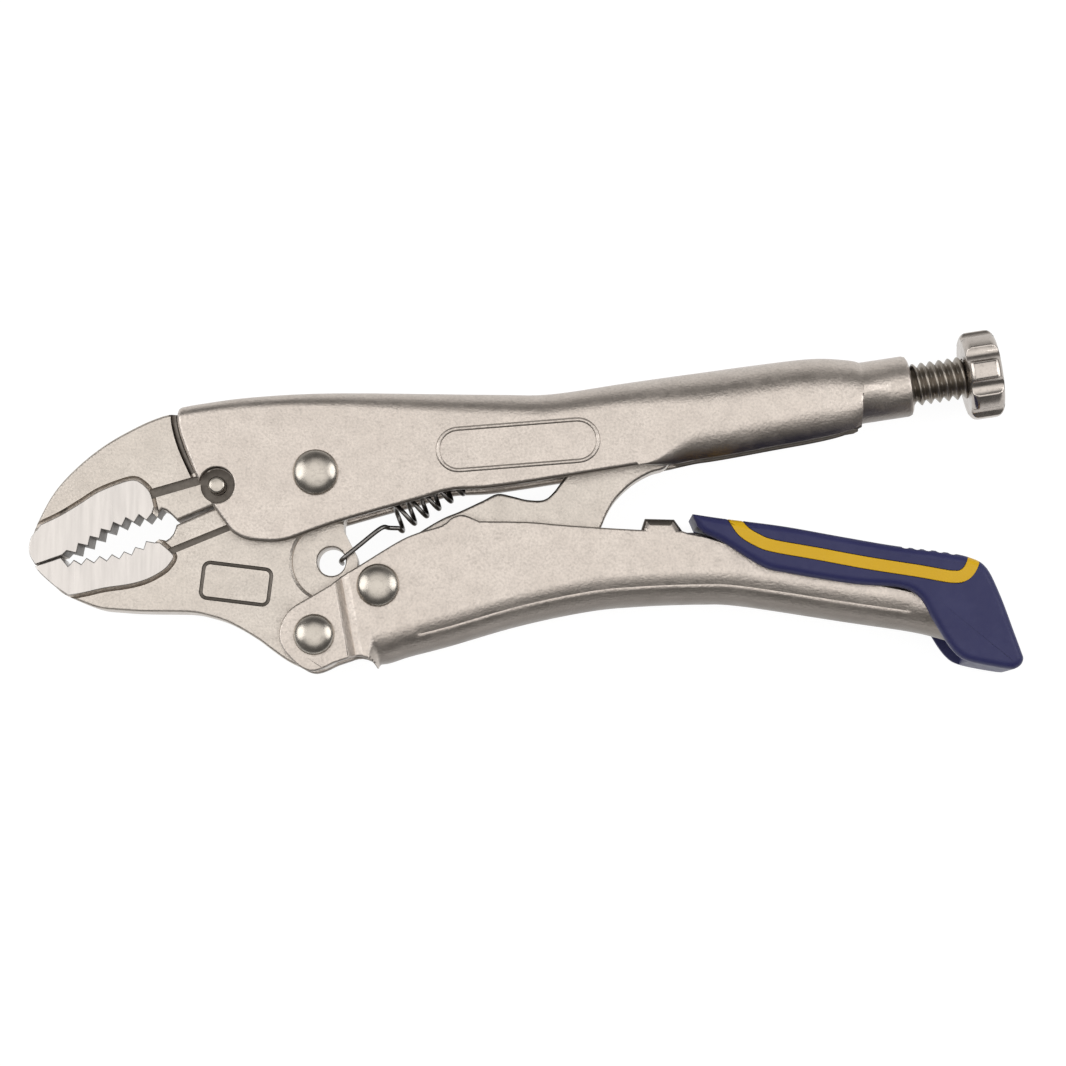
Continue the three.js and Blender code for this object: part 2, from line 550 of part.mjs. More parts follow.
const PIECES = [
  ['upper_handle', upperHandle, STEEL],
  ['upper_jaw', upperJaw, STEEL],
  ['upper_jaw_pin', () => disc(JAW_PIN, PIN_RADIUS, -UPPER_HALF + 0.1, UPPER_HALF - 0.1, 20), BRIGHT],
  ['main_pivot_rivet', () => rivet(MAIN_PIVOT, UPPER_HALF, 3.2, 1.55), BRIGHT],
  ['lower_jaw', lowerJaw, STEEL],
  ['handle_pivot_rivet', () => rivet(HANDLE_PIVOT, UPPER_HALF, 2.85, 1.55), BRIGHT],
  ['lower_handle', lowerHandle, STEEL],
  ['link_pivot_rivet', () => rivet(LINK_PIVOT, LOWER_HALF, 3.0, 1.5), BRIGHT],
  ['toggle_link', toggleLink, STEEL],
  ['adjusting_screw', adjustingScrew, DARK_STEEL],
  ['adjusting_knob', adjustingKnob, BRIGHT],
  ['jaw_spring', jawSpring, DARK_STEEL],
  ['release_lever', releaseLever, STEEL],
  ['grip_body', gripBody, BLUE],
  ['grip_core', gripCore, YELLOW],
  ['grip_pad', gripPad, BLUE],
];

const pliers = new THREE.Group();
pliers.position.set(CENTRE_SHIFT[0], CENTRE_SHIFT[1], MID_HEIGHT);
for (const [name, make, look] of PIECES) {
  const mesh = new THREE.Mesh(toGeometry(make()), new THREE.MeshStandardMaterial(look));
  mesh.name = name;
  pliers.add(mesh);
}

export default pliers;
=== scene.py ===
"""Looks of the locking pliers: finer pieces, materials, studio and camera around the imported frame.

Shapes are drawn in millimetres about the tool's mid-plane, as the frame's own parts are, and each
finished piece is moved once into the frame, in metres, by settle().
"""
import json
import math

import bmesh
import bpy
from mathutils import Matrix, Vector


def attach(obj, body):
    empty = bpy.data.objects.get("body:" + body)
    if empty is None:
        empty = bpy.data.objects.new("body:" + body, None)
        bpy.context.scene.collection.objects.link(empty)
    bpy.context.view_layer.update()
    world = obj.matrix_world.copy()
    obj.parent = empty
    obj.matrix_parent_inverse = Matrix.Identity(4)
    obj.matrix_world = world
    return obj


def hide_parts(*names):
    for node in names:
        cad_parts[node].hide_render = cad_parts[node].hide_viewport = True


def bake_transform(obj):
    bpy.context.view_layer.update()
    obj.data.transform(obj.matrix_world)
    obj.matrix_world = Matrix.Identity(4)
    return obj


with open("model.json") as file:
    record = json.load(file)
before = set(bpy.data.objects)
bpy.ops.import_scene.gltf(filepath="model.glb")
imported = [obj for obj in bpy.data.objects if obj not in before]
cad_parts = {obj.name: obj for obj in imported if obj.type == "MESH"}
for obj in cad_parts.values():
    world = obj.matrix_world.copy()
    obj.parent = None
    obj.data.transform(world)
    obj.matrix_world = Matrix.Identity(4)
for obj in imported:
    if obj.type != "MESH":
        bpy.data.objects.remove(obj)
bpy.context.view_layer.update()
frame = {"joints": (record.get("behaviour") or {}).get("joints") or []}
scene = bpy.context.scene

# ---- Driving dimensions, in millimetres: a HALF is measured from the mid-plane ----
MM = 0.001
MID_HEIGHT = 7.2
OUTLINE_HALF = 9
MAIN_PIVOT = (-29.8, 3.45)
HANDLE_PIVOT = (-29.9, -19.15)
LINK_PIVOT = (-21.1, -12.25)
SPRING_HOLE = (-27.7, -8.8)
JAW_PIN = (-43.6, 1.7)
RIVET_HOLE = 1.8
RIVET_SHANK = 1.6
PIN_HOLE = 1.25
PIN_RECESS = 2.4
PIN_WINDOW = 2.45

JAW_HALF = 3.45
JAW_FILLET = 0.4
PAD_HALF = 3.7
PAD_GROOVE = 0.58
GROOVE_DEPTH = 0.9
JAW_CLEAR = 6
RECESS_HALF = 2.75
RECESS_RADIUS = 5.4
TOOTH_COUNT = 8

SHEET = 1.7
UPPER_HALF = 5.6
LOWER_SHEET = 1.6
LOWER_HALF = 4.8
STEP_POINT = (-27.2, -11.5)
STEP_TILT = math.radians(10.6)
STEP_FALL = 1.2
STEP_REST = 2.1
STEP_DIP = 0.42
LOWER_END = 58.9

LINK_HALF = 2.5
SCREW_POINT = (57.2, 16.8)
SCREW_TILT = math.radians(8.7)
SCREW_RADIUS = 3.0
SCREW_CORE = 2.35
SCREW_PITCH = 1.27
COLLAR_RADIUS = 4.3
COLLAR_START = -12.5
COLLAR_END = -3.6
THREAD_GAP = 0.25
BORE_MOUTH = 0.7
KNOB_RADIUS = 6.2
KNOB_WIDTH = 4.8
KNOB_MIDDLE = 6.6
KNOB_LOBES = 8
SCOOP_RADIUS = 1.5
SCOOP_RING = 6.95

GRIP_HALF = 6.9
GRIP_SLOT_HALF = 5.1
CORE_HALF = 2.9
STRIPE = 1.7

WIRE_RADIUS = 0.33
COIL_RADIUS = 1.77
COIL_PITCH = 2.0

JAW_JOINT = next(joint for joint in frame["joints"] if joint["name"] == "jaw_open")
PIVOT_IN_FRAME = Vector(JAW_JOINT["pos_m"])
SHIFT = Vector((PIVOT_IN_FRAME.x / MM - MAIN_PIVOT[0], PIVOT_IN_FRAME.y / MM - MAIN_PIVOT[1],
                MID_HEIGHT))


def in_frame(x, y, z=0.0):
    """A drawn point, in the frame's metres."""
    return (Vector((x, y, z)) + SHIFT) * MM


# ---- Curves and outlines ----
SAME_POINT = 0.02
MITRE_LIMIT = 0.7


def smooth_run(points, step=0.6):
    """Points along a Catmull-Rom spline through the given points, about step apart."""
    run = []
    last = len(points) - 1
    for i in range(last):
        a, b, c, d = (Vector(points[min(max(k, 0), last)]) for k in range(i - 1, i + 3))
        count = max(2, math.ceil((c - b).length / step))
        for k in range(count):
            t = k / count
            v0, v1 = (c - a) / 2, (d - b) / 2
            run.append((2 * b - 2 * c + v0 + v1) * t ** 3 + (3 * c - 3 * b - 2 * v0 - v1) * t ** 2
                       + v0 * t + b)
    run.append(Vector(points[last]))
    return run


def outline(runs, step=0.6):
    """A closed outline: a number pair is a corner, and a nested list is a smooth run."""
    points = []
    for run in runs:
        smooth = not isinstance(run[0], (int, float))
        for point in (smooth_run(run, step) if smooth else [Vector(run)]):
            if not points or (point - points[-1]).length > SAME_POINT:
                points.append(point)
    if (points[0] - points[-1]).length < SAME_POINT:
        points.pop()
    return points


def turn_at(points, i):
    """The outline's change of direction at point i, in radians, positive to the left."""
    before = points[i] - points[i - 1]
    after = points[(i + 1) % len(points)] - points[i]
    return math.atan2(before.x * after.y - before.y * after.x, before.dot(after))


def anticlockwise(points):
    area = sum(a.x * b.y - a.y * b.x for a, b in zip(points, points[1:] + points[:1]))
    return list(points) if area > 0 else list(reversed(points))


def room_inside(points):
    """How far each point of an anticlockwise outline can move inwards before it meets the far side."""
    room = []
    count = len(points)
    for i, point in enumerate(points):
        before = (point - points[i - 1]).normalized()
        after = (points[(i + 1) % count] - point).normalized()
        inward = Vector((-(before + after).y, (before + after).x)).normalized()
        nearest = 50.0
        for j in range(count):
            a, b = points[j], points[(j + 1) % count]
            if j in (i, (i - 1) % count):
                continue
            edge = b - a
            cross = inward.x * edge.y - inward.y * edge.x
            if abs(cross) < 1e-9:
                continue
            gap = a - point
            distance = (gap.x * edge.y - gap.y * edge.x) / cross
            share = (gap.x * inward.y - gap.y * inward.x) / cross
            if 0 <= share <= 1 and 0.05 < distance < nearest:
                nearest = distance
        room.append(nearest)
    for _ in range(6):
        room = [min(here, (room[i - 1] + 2 * here + room[(i + 1) % count]) / 4)
                for i, here in enumerate(room)]
    return room


def inset(points, amounts):
    """An anticlockwise outline moved inwards by one amount a point, with mitred corners."""
    shifted = []
    for i, point in enumerate(points):
        before = (point - points[i - 1]).normalized()
        after = (points[(i + 1) % len(points)] - point).normalized()
        normal_a = Vector((-before.y, before.x))
        normal_b = Vector((-after.y, after.x))
        middle = (normal_a + normal_b).normalized()
        shifted.append(point + middle * (amounts[i] / max(middle.dot(normal_a), MITRE_LIMIT)))
    return shifted


def clear_corners(points, distance):
    """Drops points too close to a sharp corner for a rounded edge of the given size."""
    sharp = [i for i in range(len(points)) if abs(turn_at(points, i)) > 0.6]
    keep = []
    for i, point in enumerate(points):
        if i in sharp or all((point - points[j]).length > distance for j in sharp):
            keep.append(point)
    return keep


def along(pairs):
    """A smooth value along X through control pairs (x, value)."""
    samples = smooth_run(pairs, 0.5)

    def value(x):
        if x <= samples[0].x:
            return samples[0].y
        for a, b in zip(samples, samples[1:]):
            if b.x >= x:
                return a.y + (b.y - a.y) * (x - a.x) / (b.x - a.x)
        return samples[-1].y
    return value


def spread(start, end, count):
    """Evenly spaced values from start to end, count steps apart."""
    return [start + (end - start) * i / count for i in range(count + 1)]


def smoothstep(value, low, high):
    """Rises smoothly from 0 at low to 1 at high."""
    t = min(max((value - low) / (high - low), 0), 1)
    return t * t * (3 - 2 * t)


# ---- Solids ----
def solid(name, points, faces):
    """A mesh object in the scene, with double points merged and its faces turned outwards."""
    mesh = bpy.data.meshes.new(name)
    mesh.from_pydata([tuple(p) for p in points], [], faces)
    work = bmesh.new()
    work.from_mesh(mesh)
    bmesh.ops.remove_doubles(work, verts=work.verts, dist=1e-4)
    bmesh.ops.recalc_face_normals(work, faces=work.faces)
    work.to_mesh(mesh)
    work.free()
    obj = bpy.data.objects.new(name, mesh)
    scene.collection.objects.link(obj)
    return obj


def loft(name, rings, closed=False):
    """A solid through rings of equal length, capped at both ends or joined into a loop."""
    count = len(rings[0])
    points = [point for ring in rings for point in ring]
    faces = []
    for r in range(len(rings) if closed else len(rings) - 1):
        here, there = r * count, (r + 1) % len(rings) * count
        for i in range(count):
            j = (i + 1) % count
            faces.append((here + i, here + j, there + j, there + i))
    if not closed:
        faces.append(tuple(range(count - 1, -1, -1)))
        faces.append(tuple(range(len(points) - count, len(points))))
    return solid(name, points, faces)


def plate(name, points, low, high, fillet=0.0, rounds=4):
    """A plate of an outline, with both rims rounded by the fillet."""
    points = anticlockwise(points)
    if fillet:
        points = clear_corners(points, fillet * 1.3)
    levels = [(0, low), (0, high)]
    limits = [1.0] * len(points)
    if fillet:
        quarter = [i / rounds * math.pi / 2 for i in range(rounds + 1)]
        rim = [(fillet * (1 - math.cos(a)), fillet * (1 - math.sin(a))) for a in quarter]
        levels = [(i, low + h) for i, h in reversed(rim)] + [(i, high - h) for i, h in rim]
        limits = [min(1.0, 0.4 * room / fillet) for room in room_inside(points)]
    rings = [[(p.x, p.y, z) for p in inset(points, [amount * share for share in limits])]
             for amount, z in levels]
    return loft(name, rings)


def lathe(name, profile, sides=64):
    """A solid of revolution about Z, from (radius, height) pairs that start and end on the axis."""
    points = []
    rows = []
    for radius, height in profile:
        if radius < 1e-6:
            rows.append([len(points)] * sides)
            points.append((0, 0, height))
            continue
        rows.append(list(range(len(points), len(points) + sides)))
        points += [(radius * math.cos(2 * math.pi * i / sides), radius * math.sin(2 * math.pi * i / sides),
                    height) for i in range(sides)]
    faces = []
    for lower, upper in zip(rows, rows[1:]):
        for i in range(sides):
            j = (i + 1) % sides
            face = list(dict.fromkeys([lower[i], lower[j], upper[j], upper[i]]))
            if len(face) > 2:
                faces.append(face)
    return solid(name, points, faces)


def tube(name, path, radius, sides=12, closed=False):
    """A round wire along a path, with frames carried along it without twist."""
    path = [Vector(p) for p in path]
    count = len(path)
    normal = Vector((0, 0, 1))
    rings = []
    for i, point in enumerate(path):
        ahead = path[(i + 1) % count] if closed or i + 1 < count else point
        behind = path[i - 1] if closed or i > 0 else point
        tangent = (ahead - behind).normalized()
        if abs(tangent.dot(normal)) > 0.9:
            normal = Vector((1, 0, 0))
        normal = (normal - tangent * tangent.dot(normal)).normalized()
        side = tangent.cross(normal)
        rings.append([point + radius * (math.cos(2 * math.pi * k / sides) * normal
                                        + math.sin(2 * math.pi * k / sides) * side)
                      for k in range(sides)])
    return loft(name, rings, closed)


def moved(obj, matrix):
    """The object, with its mesh transformed."""
    obj.data.transform(matrix)
    return obj


def at(obj, centre):
    return moved(obj, Matrix.Translation((centre[0], centre[1], 0)))


def on_screw_axis(obj, distance=0.0):
    """Turns a solid built about Z to lie along the screw, from the screw's reference point."""
    turn = Matrix.Rotation(SCREW_TILT, 4, "Z") @ Matrix.Rotation(math.pi / 2, 4, "Y")
    shift = Vector((math.cos(SCREW_TILT), math.sin(SCREW_TILT), 0)) * distance
    return moved(obj, Matrix.Translation(Vector((*SCREW_POINT, 0)) + shift) @ turn)


def apply_modifiers(obj):
    """Puts the modified mesh in place of the object's own."""
    depsgraph = bpy.context.evaluated_depsgraph_get()
    mesh = bpy.data.meshes.new_from_object(obj.evaluated_get(depsgraph))
    old = obj.data
    obj.modifiers.clear()
    obj.data = mesh
    bpy.data.meshes.remove(old)


def combine(obj, operation, tools):
    """Cuts, joins or intersects obj with each tool, and removes the tools."""
    for tool in tools:
        step = obj.modifiers.new(operation, "BOOLEAN")
        step.operation = operation
        step.solver = "MANIFOLD"
        step.object = tool
    apply_modifiers(obj)
    for tool in tools:
        bpy.data.meshes.remove(tool.data)
    return obj


def cut(obj, *tools):
    return combine(obj, "DIFFERENCE", tools)


def join(obj, *tools):
    return combine(obj, "UNION", tools)


def keep(obj, *tools):
    return combine(obj, "INTERSECT", tools)


def drill(centre, radius, half, lead=0.25):
    """A cutter for a round hole through a plate, flared where it leaves each face."""
    flare = [(radius, lead), (radius + lead * 0.3, lead * 0.4), (radius + lead, 0), (radius + lead, -3)]
    top = [(r, half - h) for r, h in flare]
    bottom = [(r, -z) for r, z in reversed(top)]
    profile = [(0, bottom[0][1]), *bottom, *top, (0, top[-1][1])]
    return at(lathe("drill", profile, 56), centre)


def clean(obj, merge=0.012):
    """Joins coplanar scraps that cutting left behind."""
    work = bmesh.new()
    work.from_mesh(obj.data)
    bmesh.ops.remove_doubles(work, verts=work.verts, dist=merge)
    bmesh.ops.dissolve_degenerate(work, dist=merge / 2, edges=work.edges)
    bmesh.ops.dissolve_limit(work, angle_limit=math.radians(0.08), verts=work.verts, edges=work.edges)
    work.to_mesh(obj.data)
    work.free()
    return obj


def soften(obj, width, angle=38, segments=3, where=lambda middle: True):
    """Rounds the sharp edges whose middle passes where(), with real geometry."""
    clean(obj)
    work = bmesh.new()
    work.from_mesh(obj.data)
    sharp = []
    for edge in work.edges:
        middle = (edge.verts[0].co + edge.verts[1].co) / 2
        sharp.append(edge.calc_face_angle(0) > math.radians(angle) and where(middle))
    work.free()
    weights = obj.data.attributes.new("bevel_weight_edge", "FLOAT", "EDGE")
    weights.data.foreach_set("value", [float(value) for value in sharp])
    bevel = obj.modifiers.new("edges", "BEVEL")
    bevel.width = width
    bevel.segments = segments
    bevel.limit_method = "WEIGHT"
    bevel.use_clamp_overlap = False
    bevel.miter_outer = "MITER_ARC"
    apply_modifiers(obj)
    return obj


def settle(obj, body, replaced, slot, *materials, crease=42):
    """Brings a finished piece into the frame, shades it, and gives it its body and its finish."""
    moved(obj, Matrix.Scale(MM, 4) @ Matrix.Translation(SHIFT))
    mesh = obj.data
    mesh.shade_smooth()
    mesh.set_sharp_from_angle(angle=math.radians(crease))
    weighted = obj.modifiers.new("normals", "WEIGHTED_NORMAL")
    weighted.keep_sharp = True
    weighted.weight = 70
    apply_modifiers(obj)
    obj.data.materials.clear()
    for material in materials:
        obj.data.materials.append(material)
    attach(obj, body)
    if replaced:
        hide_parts(*replaced)
    return obj


# ---- Materials ----
class Nodes:
    """A short hand for building one tree of shader nodes."""

    def __init__(self, tree):
        self.tree = tree
        coordinates = tree.nodes.new("ShaderNodeTexCoord")
        self.place = coordinates.outputs["Object"]
        self.facing = coordinates.outputs["Normal"]
        self.around = coordinates.outputs["Generated"]

    def add(self, kind, inputs=(), **settings):
        node = self.tree.nodes.new(kind)
        for key, value in settings.items():
            setattr(node, key, value)
        for socket, value in dict(inputs).items():
            if isinstance(value, bpy.types.NodeSocket):
                self.tree.links.new(value, node.inputs[socket])
            else:
                node.inputs[socket].default_value = value
        return node

    def stretched(self, scale):
        return self.add("ShaderNodeMapping", {"Vector": self.place, "Scale": scale}).outputs[0]

    def noise(self, scale, detail=3, roughness=0.6, vector=None):
        return self.add("ShaderNodeTexNoise", {"Vector": vector or self.place, "Scale": scale,
                                               "Detail": detail, "Roughness": roughness}).outputs[0]

    def ramp(self, value, *stops):
        node = self.add("ShaderNodeValToRGB", {"Fac": value})
        elements = node.color_ramp.elements
        while len(elements) < len(stops):
            elements.new(1)
        for element, (position, color) in zip(elements, stops):
            element.position = position
            element.color = (*color, 1) if isinstance(color, tuple) else (color, color, color, 1)
        return node.outputs[0]

    def mix(self, factor, a, b):
        node = self.add("ShaderNodeMix", data_type="RGBA")
        self.tree.links.new(factor, node.inputs[0])
        for socket, value in ((node.inputs[6], a), (node.inputs[7], b)):
            if isinstance(value, bpy.types.NodeSocket):
                self.tree.links.new(value, socket)
            else:
                socket.default_value = (*value, 1)
        return node.outputs[2]

    def bump(self, height, distance, below=None):
        inputs = {"Height": height, "Distance": distance, "Strength": 1.0}
        if below:
            inputs["Normal"] = below
        return self.add("ShaderNodeBump", inputs).outputs[0]


class Surface(Nodes):
    """A material, with fixed values set on its shader's own sockets."""

    def __init__(self, name, **values):
        self.material = bpy.data.materials.new(name)
        self.material.use_nodes = True
        super().__init__(self.material.node_tree)
        self.shader = self.tree.nodes["Principled BSDF"]
        for socket, value in values.items():
            self.shader.inputs[socket.replace("_", " ")].default_value = value

    def wire(self, **sockets):
        for socket, value in sockets.items():
            self.tree.links.new(value, self.shader.inputs[socket.replace("_", " ")])
        return self.material


def plated_steel(name, light, dark, rough, grain=3.6e-5, size=2900, underside_shade=1.0):
    """Satin nickel over blasted steel: a fine pebble grain, cloudy tone, and painted shade darkening the
    faces turned towards the lower side.
    """
    n = Surface(name, Metallic=1.0)
    clouds = n.noise(90, 3)
    pebbles = n.noise(size, 3, 0.6)
    pits = n.noise(size * 0.5, 3, 0.7)
    tone = n.mix(n.ramp(clouds, (0.35, 0.0), (0.65, 1.0)), light, dark)
    grit = n.mix(n.ramp(pebbles, (0.38, 0.0), (0.62, 1.0)), tone, tuple(0.83 * c for c in light))
    speck = n.mix(n.ramp(pits, (0.58, 0.0), (0.74, 0.35)), grit, tuple(0.62 * c for c in dark))
    # Painted shade: faces whose normal turns towards -Y are darkened towards a share of the dark tone.
    if underside_shade < 1:
        facing = n.add("ShaderNodeSeparateXYZ", {0: n.facing}).outputs["Y"]
        under = n.add("ShaderNodeMapRange", {"Value": facing, "From Min": -0.5, "From Max": -0.85})
        speck = n.mix(under.outputs[0], speck, tuple(underside_shade * c for c in dark))
    gloss = n.ramp(n.noise(420, 3), (0.35, rough - 0.05), (0.7, rough + 0.07))
    fine = n.bump(pebbles, grain)
    return n.wire(Base_Color=speck, Roughness=gloss, Normal=n.bump(pits, grain * 0.9, fine))


def ground_steel(name, color, rough):
    """Freshly ground steel: fine parallel strokes of the wheel across the jaw."""
    n = Surface(name, Metallic=1.0)
    strokes = n.noise(1.0, 3, 0.6, n.stretched((5200, 260, 260)))
    broad = n.noise(1.0, 2, 0.5, n.stretched((1300, 120, 120)))
    tone = n.mix(n.ramp(broad, (0.3, 0.0), (0.75, 1.0)), color, tuple(0.86 * c for c in color))
    gloss = n.ramp(strokes, (0.3, rough - 0.06), (0.75, rough + 0.08))
    return n.wire(Base_Color=tone, Roughness=gloss, Normal=n.bump(strokes, 1.2e-5))


def turned_steel(name, color, rough, grain=1.0e-5):
    """Smooth plated steel of rivets, screw, knob and wire, with faint marks and darker pores."""
    n = Surface(name, Metallic=1.0)
    marks = n.noise(1500, 4, 0.7)
    tone = n.mix(n.ramp(marks, (0.5, 0.0), (0.8, 0.7)), color, tuple(0.6 * c for c in color))
    gloss = n.ramp(n.noise(600, 3), (0.3, rough - 0.05), (0.75, rough + 0.08))
    return n.wire(Base_Color=tone, Roughness=gloss, Normal=n.bump(marks, grain))


def grip_plastic(name, color, worn, rough):
    """Moulded grip: a fine spark-eroded grain, soft sheen and slightly paler rubbed patches."""
    n = Surface(name, Metallic=0.0, Specular_IOR_Level=0.32)
    grain = n.noise(5200, 2, 0.5)
    rub = n.noise(150, 4, 0.65)
    tone = n.mix(n.ramp(rub, (0.45, 0.0), (0.8, 0.8)), color, worn)
    gloss = n.ramp(n.noise(900, 3), (0.3, rough - 0.05), (0.75, rough + 0.08))
    return n.wire(Base_Color=tone, Roughness=gloss, Normal=n.bump(grain, 1.4e-5))


# The plated handles get painted shade on faces turned towards the lower side.
NICKEL = plated_steel("satin_nickel", (0.565, 0.51, 0.462), (0.53, 0.474, 0.426), 0.37, underside_shade=0.42)
FORGED = plated_steel("forged_nickel", (0.56, 0.512, 0.462), (0.52, 0.47, 0.42), 0.40, 3.2e-5, 3000)
GROUND = ground_steel("ground_steel", (0.565, 0.535, 0.51), 0.33)
# Painted shade: a near-black steel laid on groove floors, groove lines, the upper teeth's flanks, the
# inside of the handle's slot and the folded tab, where shade falls.
PAINTED_SHADE_STEEL = turned_steel("painted_shade_steel", (0.135, 0.12, 0.105), 0.45)
RIVET = turned_steel("rivet_nickel", (0.44, 0.405, 0.36), 0.25)
SCREW = turned_steel("screw_steel", (0.30, 0.27, 0.235), 0.33)
KNOB = turned_steel("knob_nickel", (0.45, 0.41, 0.375), 0.24, 0.6e-5)
WIRE = turned_steel("spring_steel", (0.20, 0.19, 0.18), 0.32)
BLUE = grip_plastic("blue_grip", (0.020, 0.021, 0.086), (0.032, 0.034, 0.108), 0.46)
YELLOW = grip_plastic("yellow_grip", (0.62, 0.365, 0.003), (0.67, 0.41, 0.008), 0.42)

# ---- Upper handle ----
upper_top = along([
    (-49.5, 12.5), (-46, 13.2), (-38.4, 14.2), (-26.7, 14.8), (-5, 14.7), (3, 14.8),
    (13.5, 16.4), (22.6, 17.8), (31.8, 19.1), (40, 20), (45, 19.8), (46.6, 19.4),
])
upper_top_radius = along([
    (-49.5, 1.6), (-30, 2.3), (-8, 3.4), (10, 3.9), (18, 4.6), (26, 5.4), (40, 5.2), (46.6, 4.8),
])
upper_bottom = along([
    (15.4, 4.6), (19.5, 4.75), (25.6, 5.35), (34.7, 7), (42.3, 8.4), (45.4, 9.25), (46.6, 9.8),
])
FRONT_LOW = -10
CURL_START = 15.4
CURL_END = 24.5
TAPER_START = 38
TUBE_END = 46.6
NECK_END = 51.8
LIP_HALF = 2.8
BADGE_CENTRE = (-1.6, 7.3)
BADGE_SIZE = (11.2, 2.9)
BADGE_TILT = math.radians(4.5)


def sheet_ring(x, top, low, half, top_radius, low_radius, slot_half, sheet):
    """The closed section of a folded sheet: round spine on top, its edges curled in below."""
    def side(top, low, half, top_radius, low_radius):
        lip = math.asin(min(max((slot_half - half + low_radius) / low_radius, 0), 1))
        lip_height = low + low_radius * (1 - math.cos(lip))
        path = [(lip_height, z) for z in spread(slot_half, max(slot_half, half - low_radius), 3)[:-1]]
        path += [(low + low_radius * (1 - math.cos(a)), half - low_radius * (1 - math.sin(a)))
                 for a in spread(lip, math.pi / 2, 9)]
        path += [(y, half) for y in spread(low + low_radius, top - top_radius, 8)[1:-1]]
        path += [(top - top_radius * (1 - math.sin(a)), half - top_radius * (1 - math.cos(a)))
                 for a in spread(0, math.pi / 2, 11)]
        return path + [(top, (half - top_radius) * (1 - i / 3)) for i in range(1, 3)]

    outer = side(top, low, half, top_radius, low_radius)
    inner = side(top - sheet, low + sheet, half - sheet, max(top_radius - sheet, 0.4),
                 max(low_radius - sheet, 0.1))
    whole = [*outer, (top, 0), *[(y, -z) for y, z in reversed(outer)]]
    hollow = [*inner, (top - sheet, 0), *[(y, -z) for y, z in reversed(inner)]]
    return [(x, y, z) for y, z in whole + hollow[::-1]]


def upper_ring(x):
    """Straight walls in front, curled into a slotted tube behind, and necked onto the collar at last."""
    curl = smoothstep(x, CURL_START, CURL_END)
    taper = smoothstep(x, TAPER_START, TUBE_END)
    neck = smoothstep(x, TUBE_END, NECK_END)
    half = UPPER_HALF - 0.6 * taper - 0.78 * neck
    slot = (UPPER_HALF - SHEET) * (1 - curl) + LIP_HALF * curl
    low_radius = 0.1 + 5.2 * curl - 0.55 * taper - 0.6 * neck
    top_radius = upper_top_radius(x) - 0.65 * neck
    top = upper_top(x)
    low = upper_bottom(x) - 0.45 * curl if x >= CURL_START else FRONT_LOW
    if x > TUBE_END:
        axis = SCREW_POINT[1] + (x - SCREW_POINT[0]) * math.tan(SCREW_TILT)
        top, low = axis + COLLAR_RADIUS - 0.02 - 0.1 * neck, axis - COLLAR_RADIUS + 0.1
    return sheet_ring(x, top, low, half, top_radius, low_radius, slot, SHEET)


UPPER_SIDE = [
    [(-49.05, 12.9), (-49.1, 10.4), (-48.2, 7.2), (-46.0, 2), (-43.8, -1.6), (-42.3, -3.7), (-41.2, -5),
     (-38.8, -6), (-34.5, -6.1), (-30, -4.6), (-25.8, -3.2), (-15.6, -0.3), (-11, 1), (-5.1, 1.4),
     (4.8, 2.9), (CURL_START, 4.6)],
    (CURL_START, 2), (NECK_END + 1, 2), (NECK_END + 1, 26), (-49.05, 26),
]


def stadium(centre, half_length, half_height, tilt, radius):
    """A closed path round a rectangle with rounded corners."""
    path = []
    for quarter, (sx, sy) in enumerate(((1, 1), (-1, 1), (-1, -1), (1, -1))):
        middle = Vector((sx * (half_length - radius), sy * (half_height - radius)))
        for a in spread(quarter * math.pi / 2, (quarter + 1) * math.pi / 2, 8):
            path.append(middle + radius * Vector((math.cos(a), math.sin(a))))
    turn = Matrix.Rotation(tilt, 2)
    return [Vector(centre) + turn @ p for p in path]


def bead(path, height, radius):
    """A round bead along a closed path on both faces, to join or to cut."""
    return [tube("bead", [(p.x, p.y, side * height) for p in path], radius, 10, True)
            for side in (1, -1)]


def upper_handle():
    """A folded sheet with a threaded collar at its rear and a raised oblong bead on each side."""
    stations = [*spread(-50.5, CURL_START - 0.05, 60), *spread(CURL_START, 26, 36),
                *spread(26.6, TUBE_END, 34), *spread(TUBE_END + 0.15, NECK_END, 12)]
    body = loft("upper_handle_shell", [upper_ring(x) for x in stations])
    keep(body, plate("side", outline(UPPER_SIDE, 0.8), -OUTLINE_HALF, OUTLINE_HALF))
    collar = on_screw_axis(lathe("collar", [
        (0, COLLAR_START), (COLLAR_RADIUS - 0.6, COLLAR_START), (COLLAR_RADIUS, -11.5),
        (COLLAR_RADIUS, -4.3), (COLLAR_RADIUS - 0.15, -3.85), (COLLAR_RADIUS - 0.6, COLLAR_END),
        (0, COLLAR_END)], 72))
    join(body, collar)
    bore = on_screw_axis(lathe("bore", [
        (0, -26), (SCREW_RADIUS + THREAD_GAP, -26), (SCREW_RADIUS + THREAD_GAP, -4.2),
        (SCREW_RADIUS + BORE_MOUTH, -3.5), (SCREW_RADIUS + BORE_MOUTH, 0), (0, 0)], 64))
    cut(body, bore, drill(MAIN_PIVOT, RIVET_HOLE, UPPER_HALF))
    soften(body, 0.55, 40, 4, lambda p: p.x < CURL_START - 0.3 or CURL_START + 0.6 < p.x < TUBE_END - 1)
    cut(body, drill(JAW_PIN, PIN_WINDOW, UPPER_HALF, 0.3))
    badge = stadium(BADGE_CENTRE, *BADGE_SIZE, BADGE_TILT, 2.85)
    join(body, *bead(badge, UPPER_HALF - 0.12, 0.34))
    settle(body, "upper_handle", ["upper_handle"], "plated_steel", NICKEL, PAINTED_SHADE_STEEL)
    # Painted shade: faces inside the rolled tube's slot get the dark steel.
    for face in body.data.polygons:
        centre = face.center / MM - SHIFT
        in_slot = abs(centre.z) < LIP_HALF + 0.45 and centre.y < upper_bottom(centre.x) + 2
        face.material_index = 1 if in_slot and CURL_START + 2 < centre.x < TUBE_END + 0.3 else 0
    return body


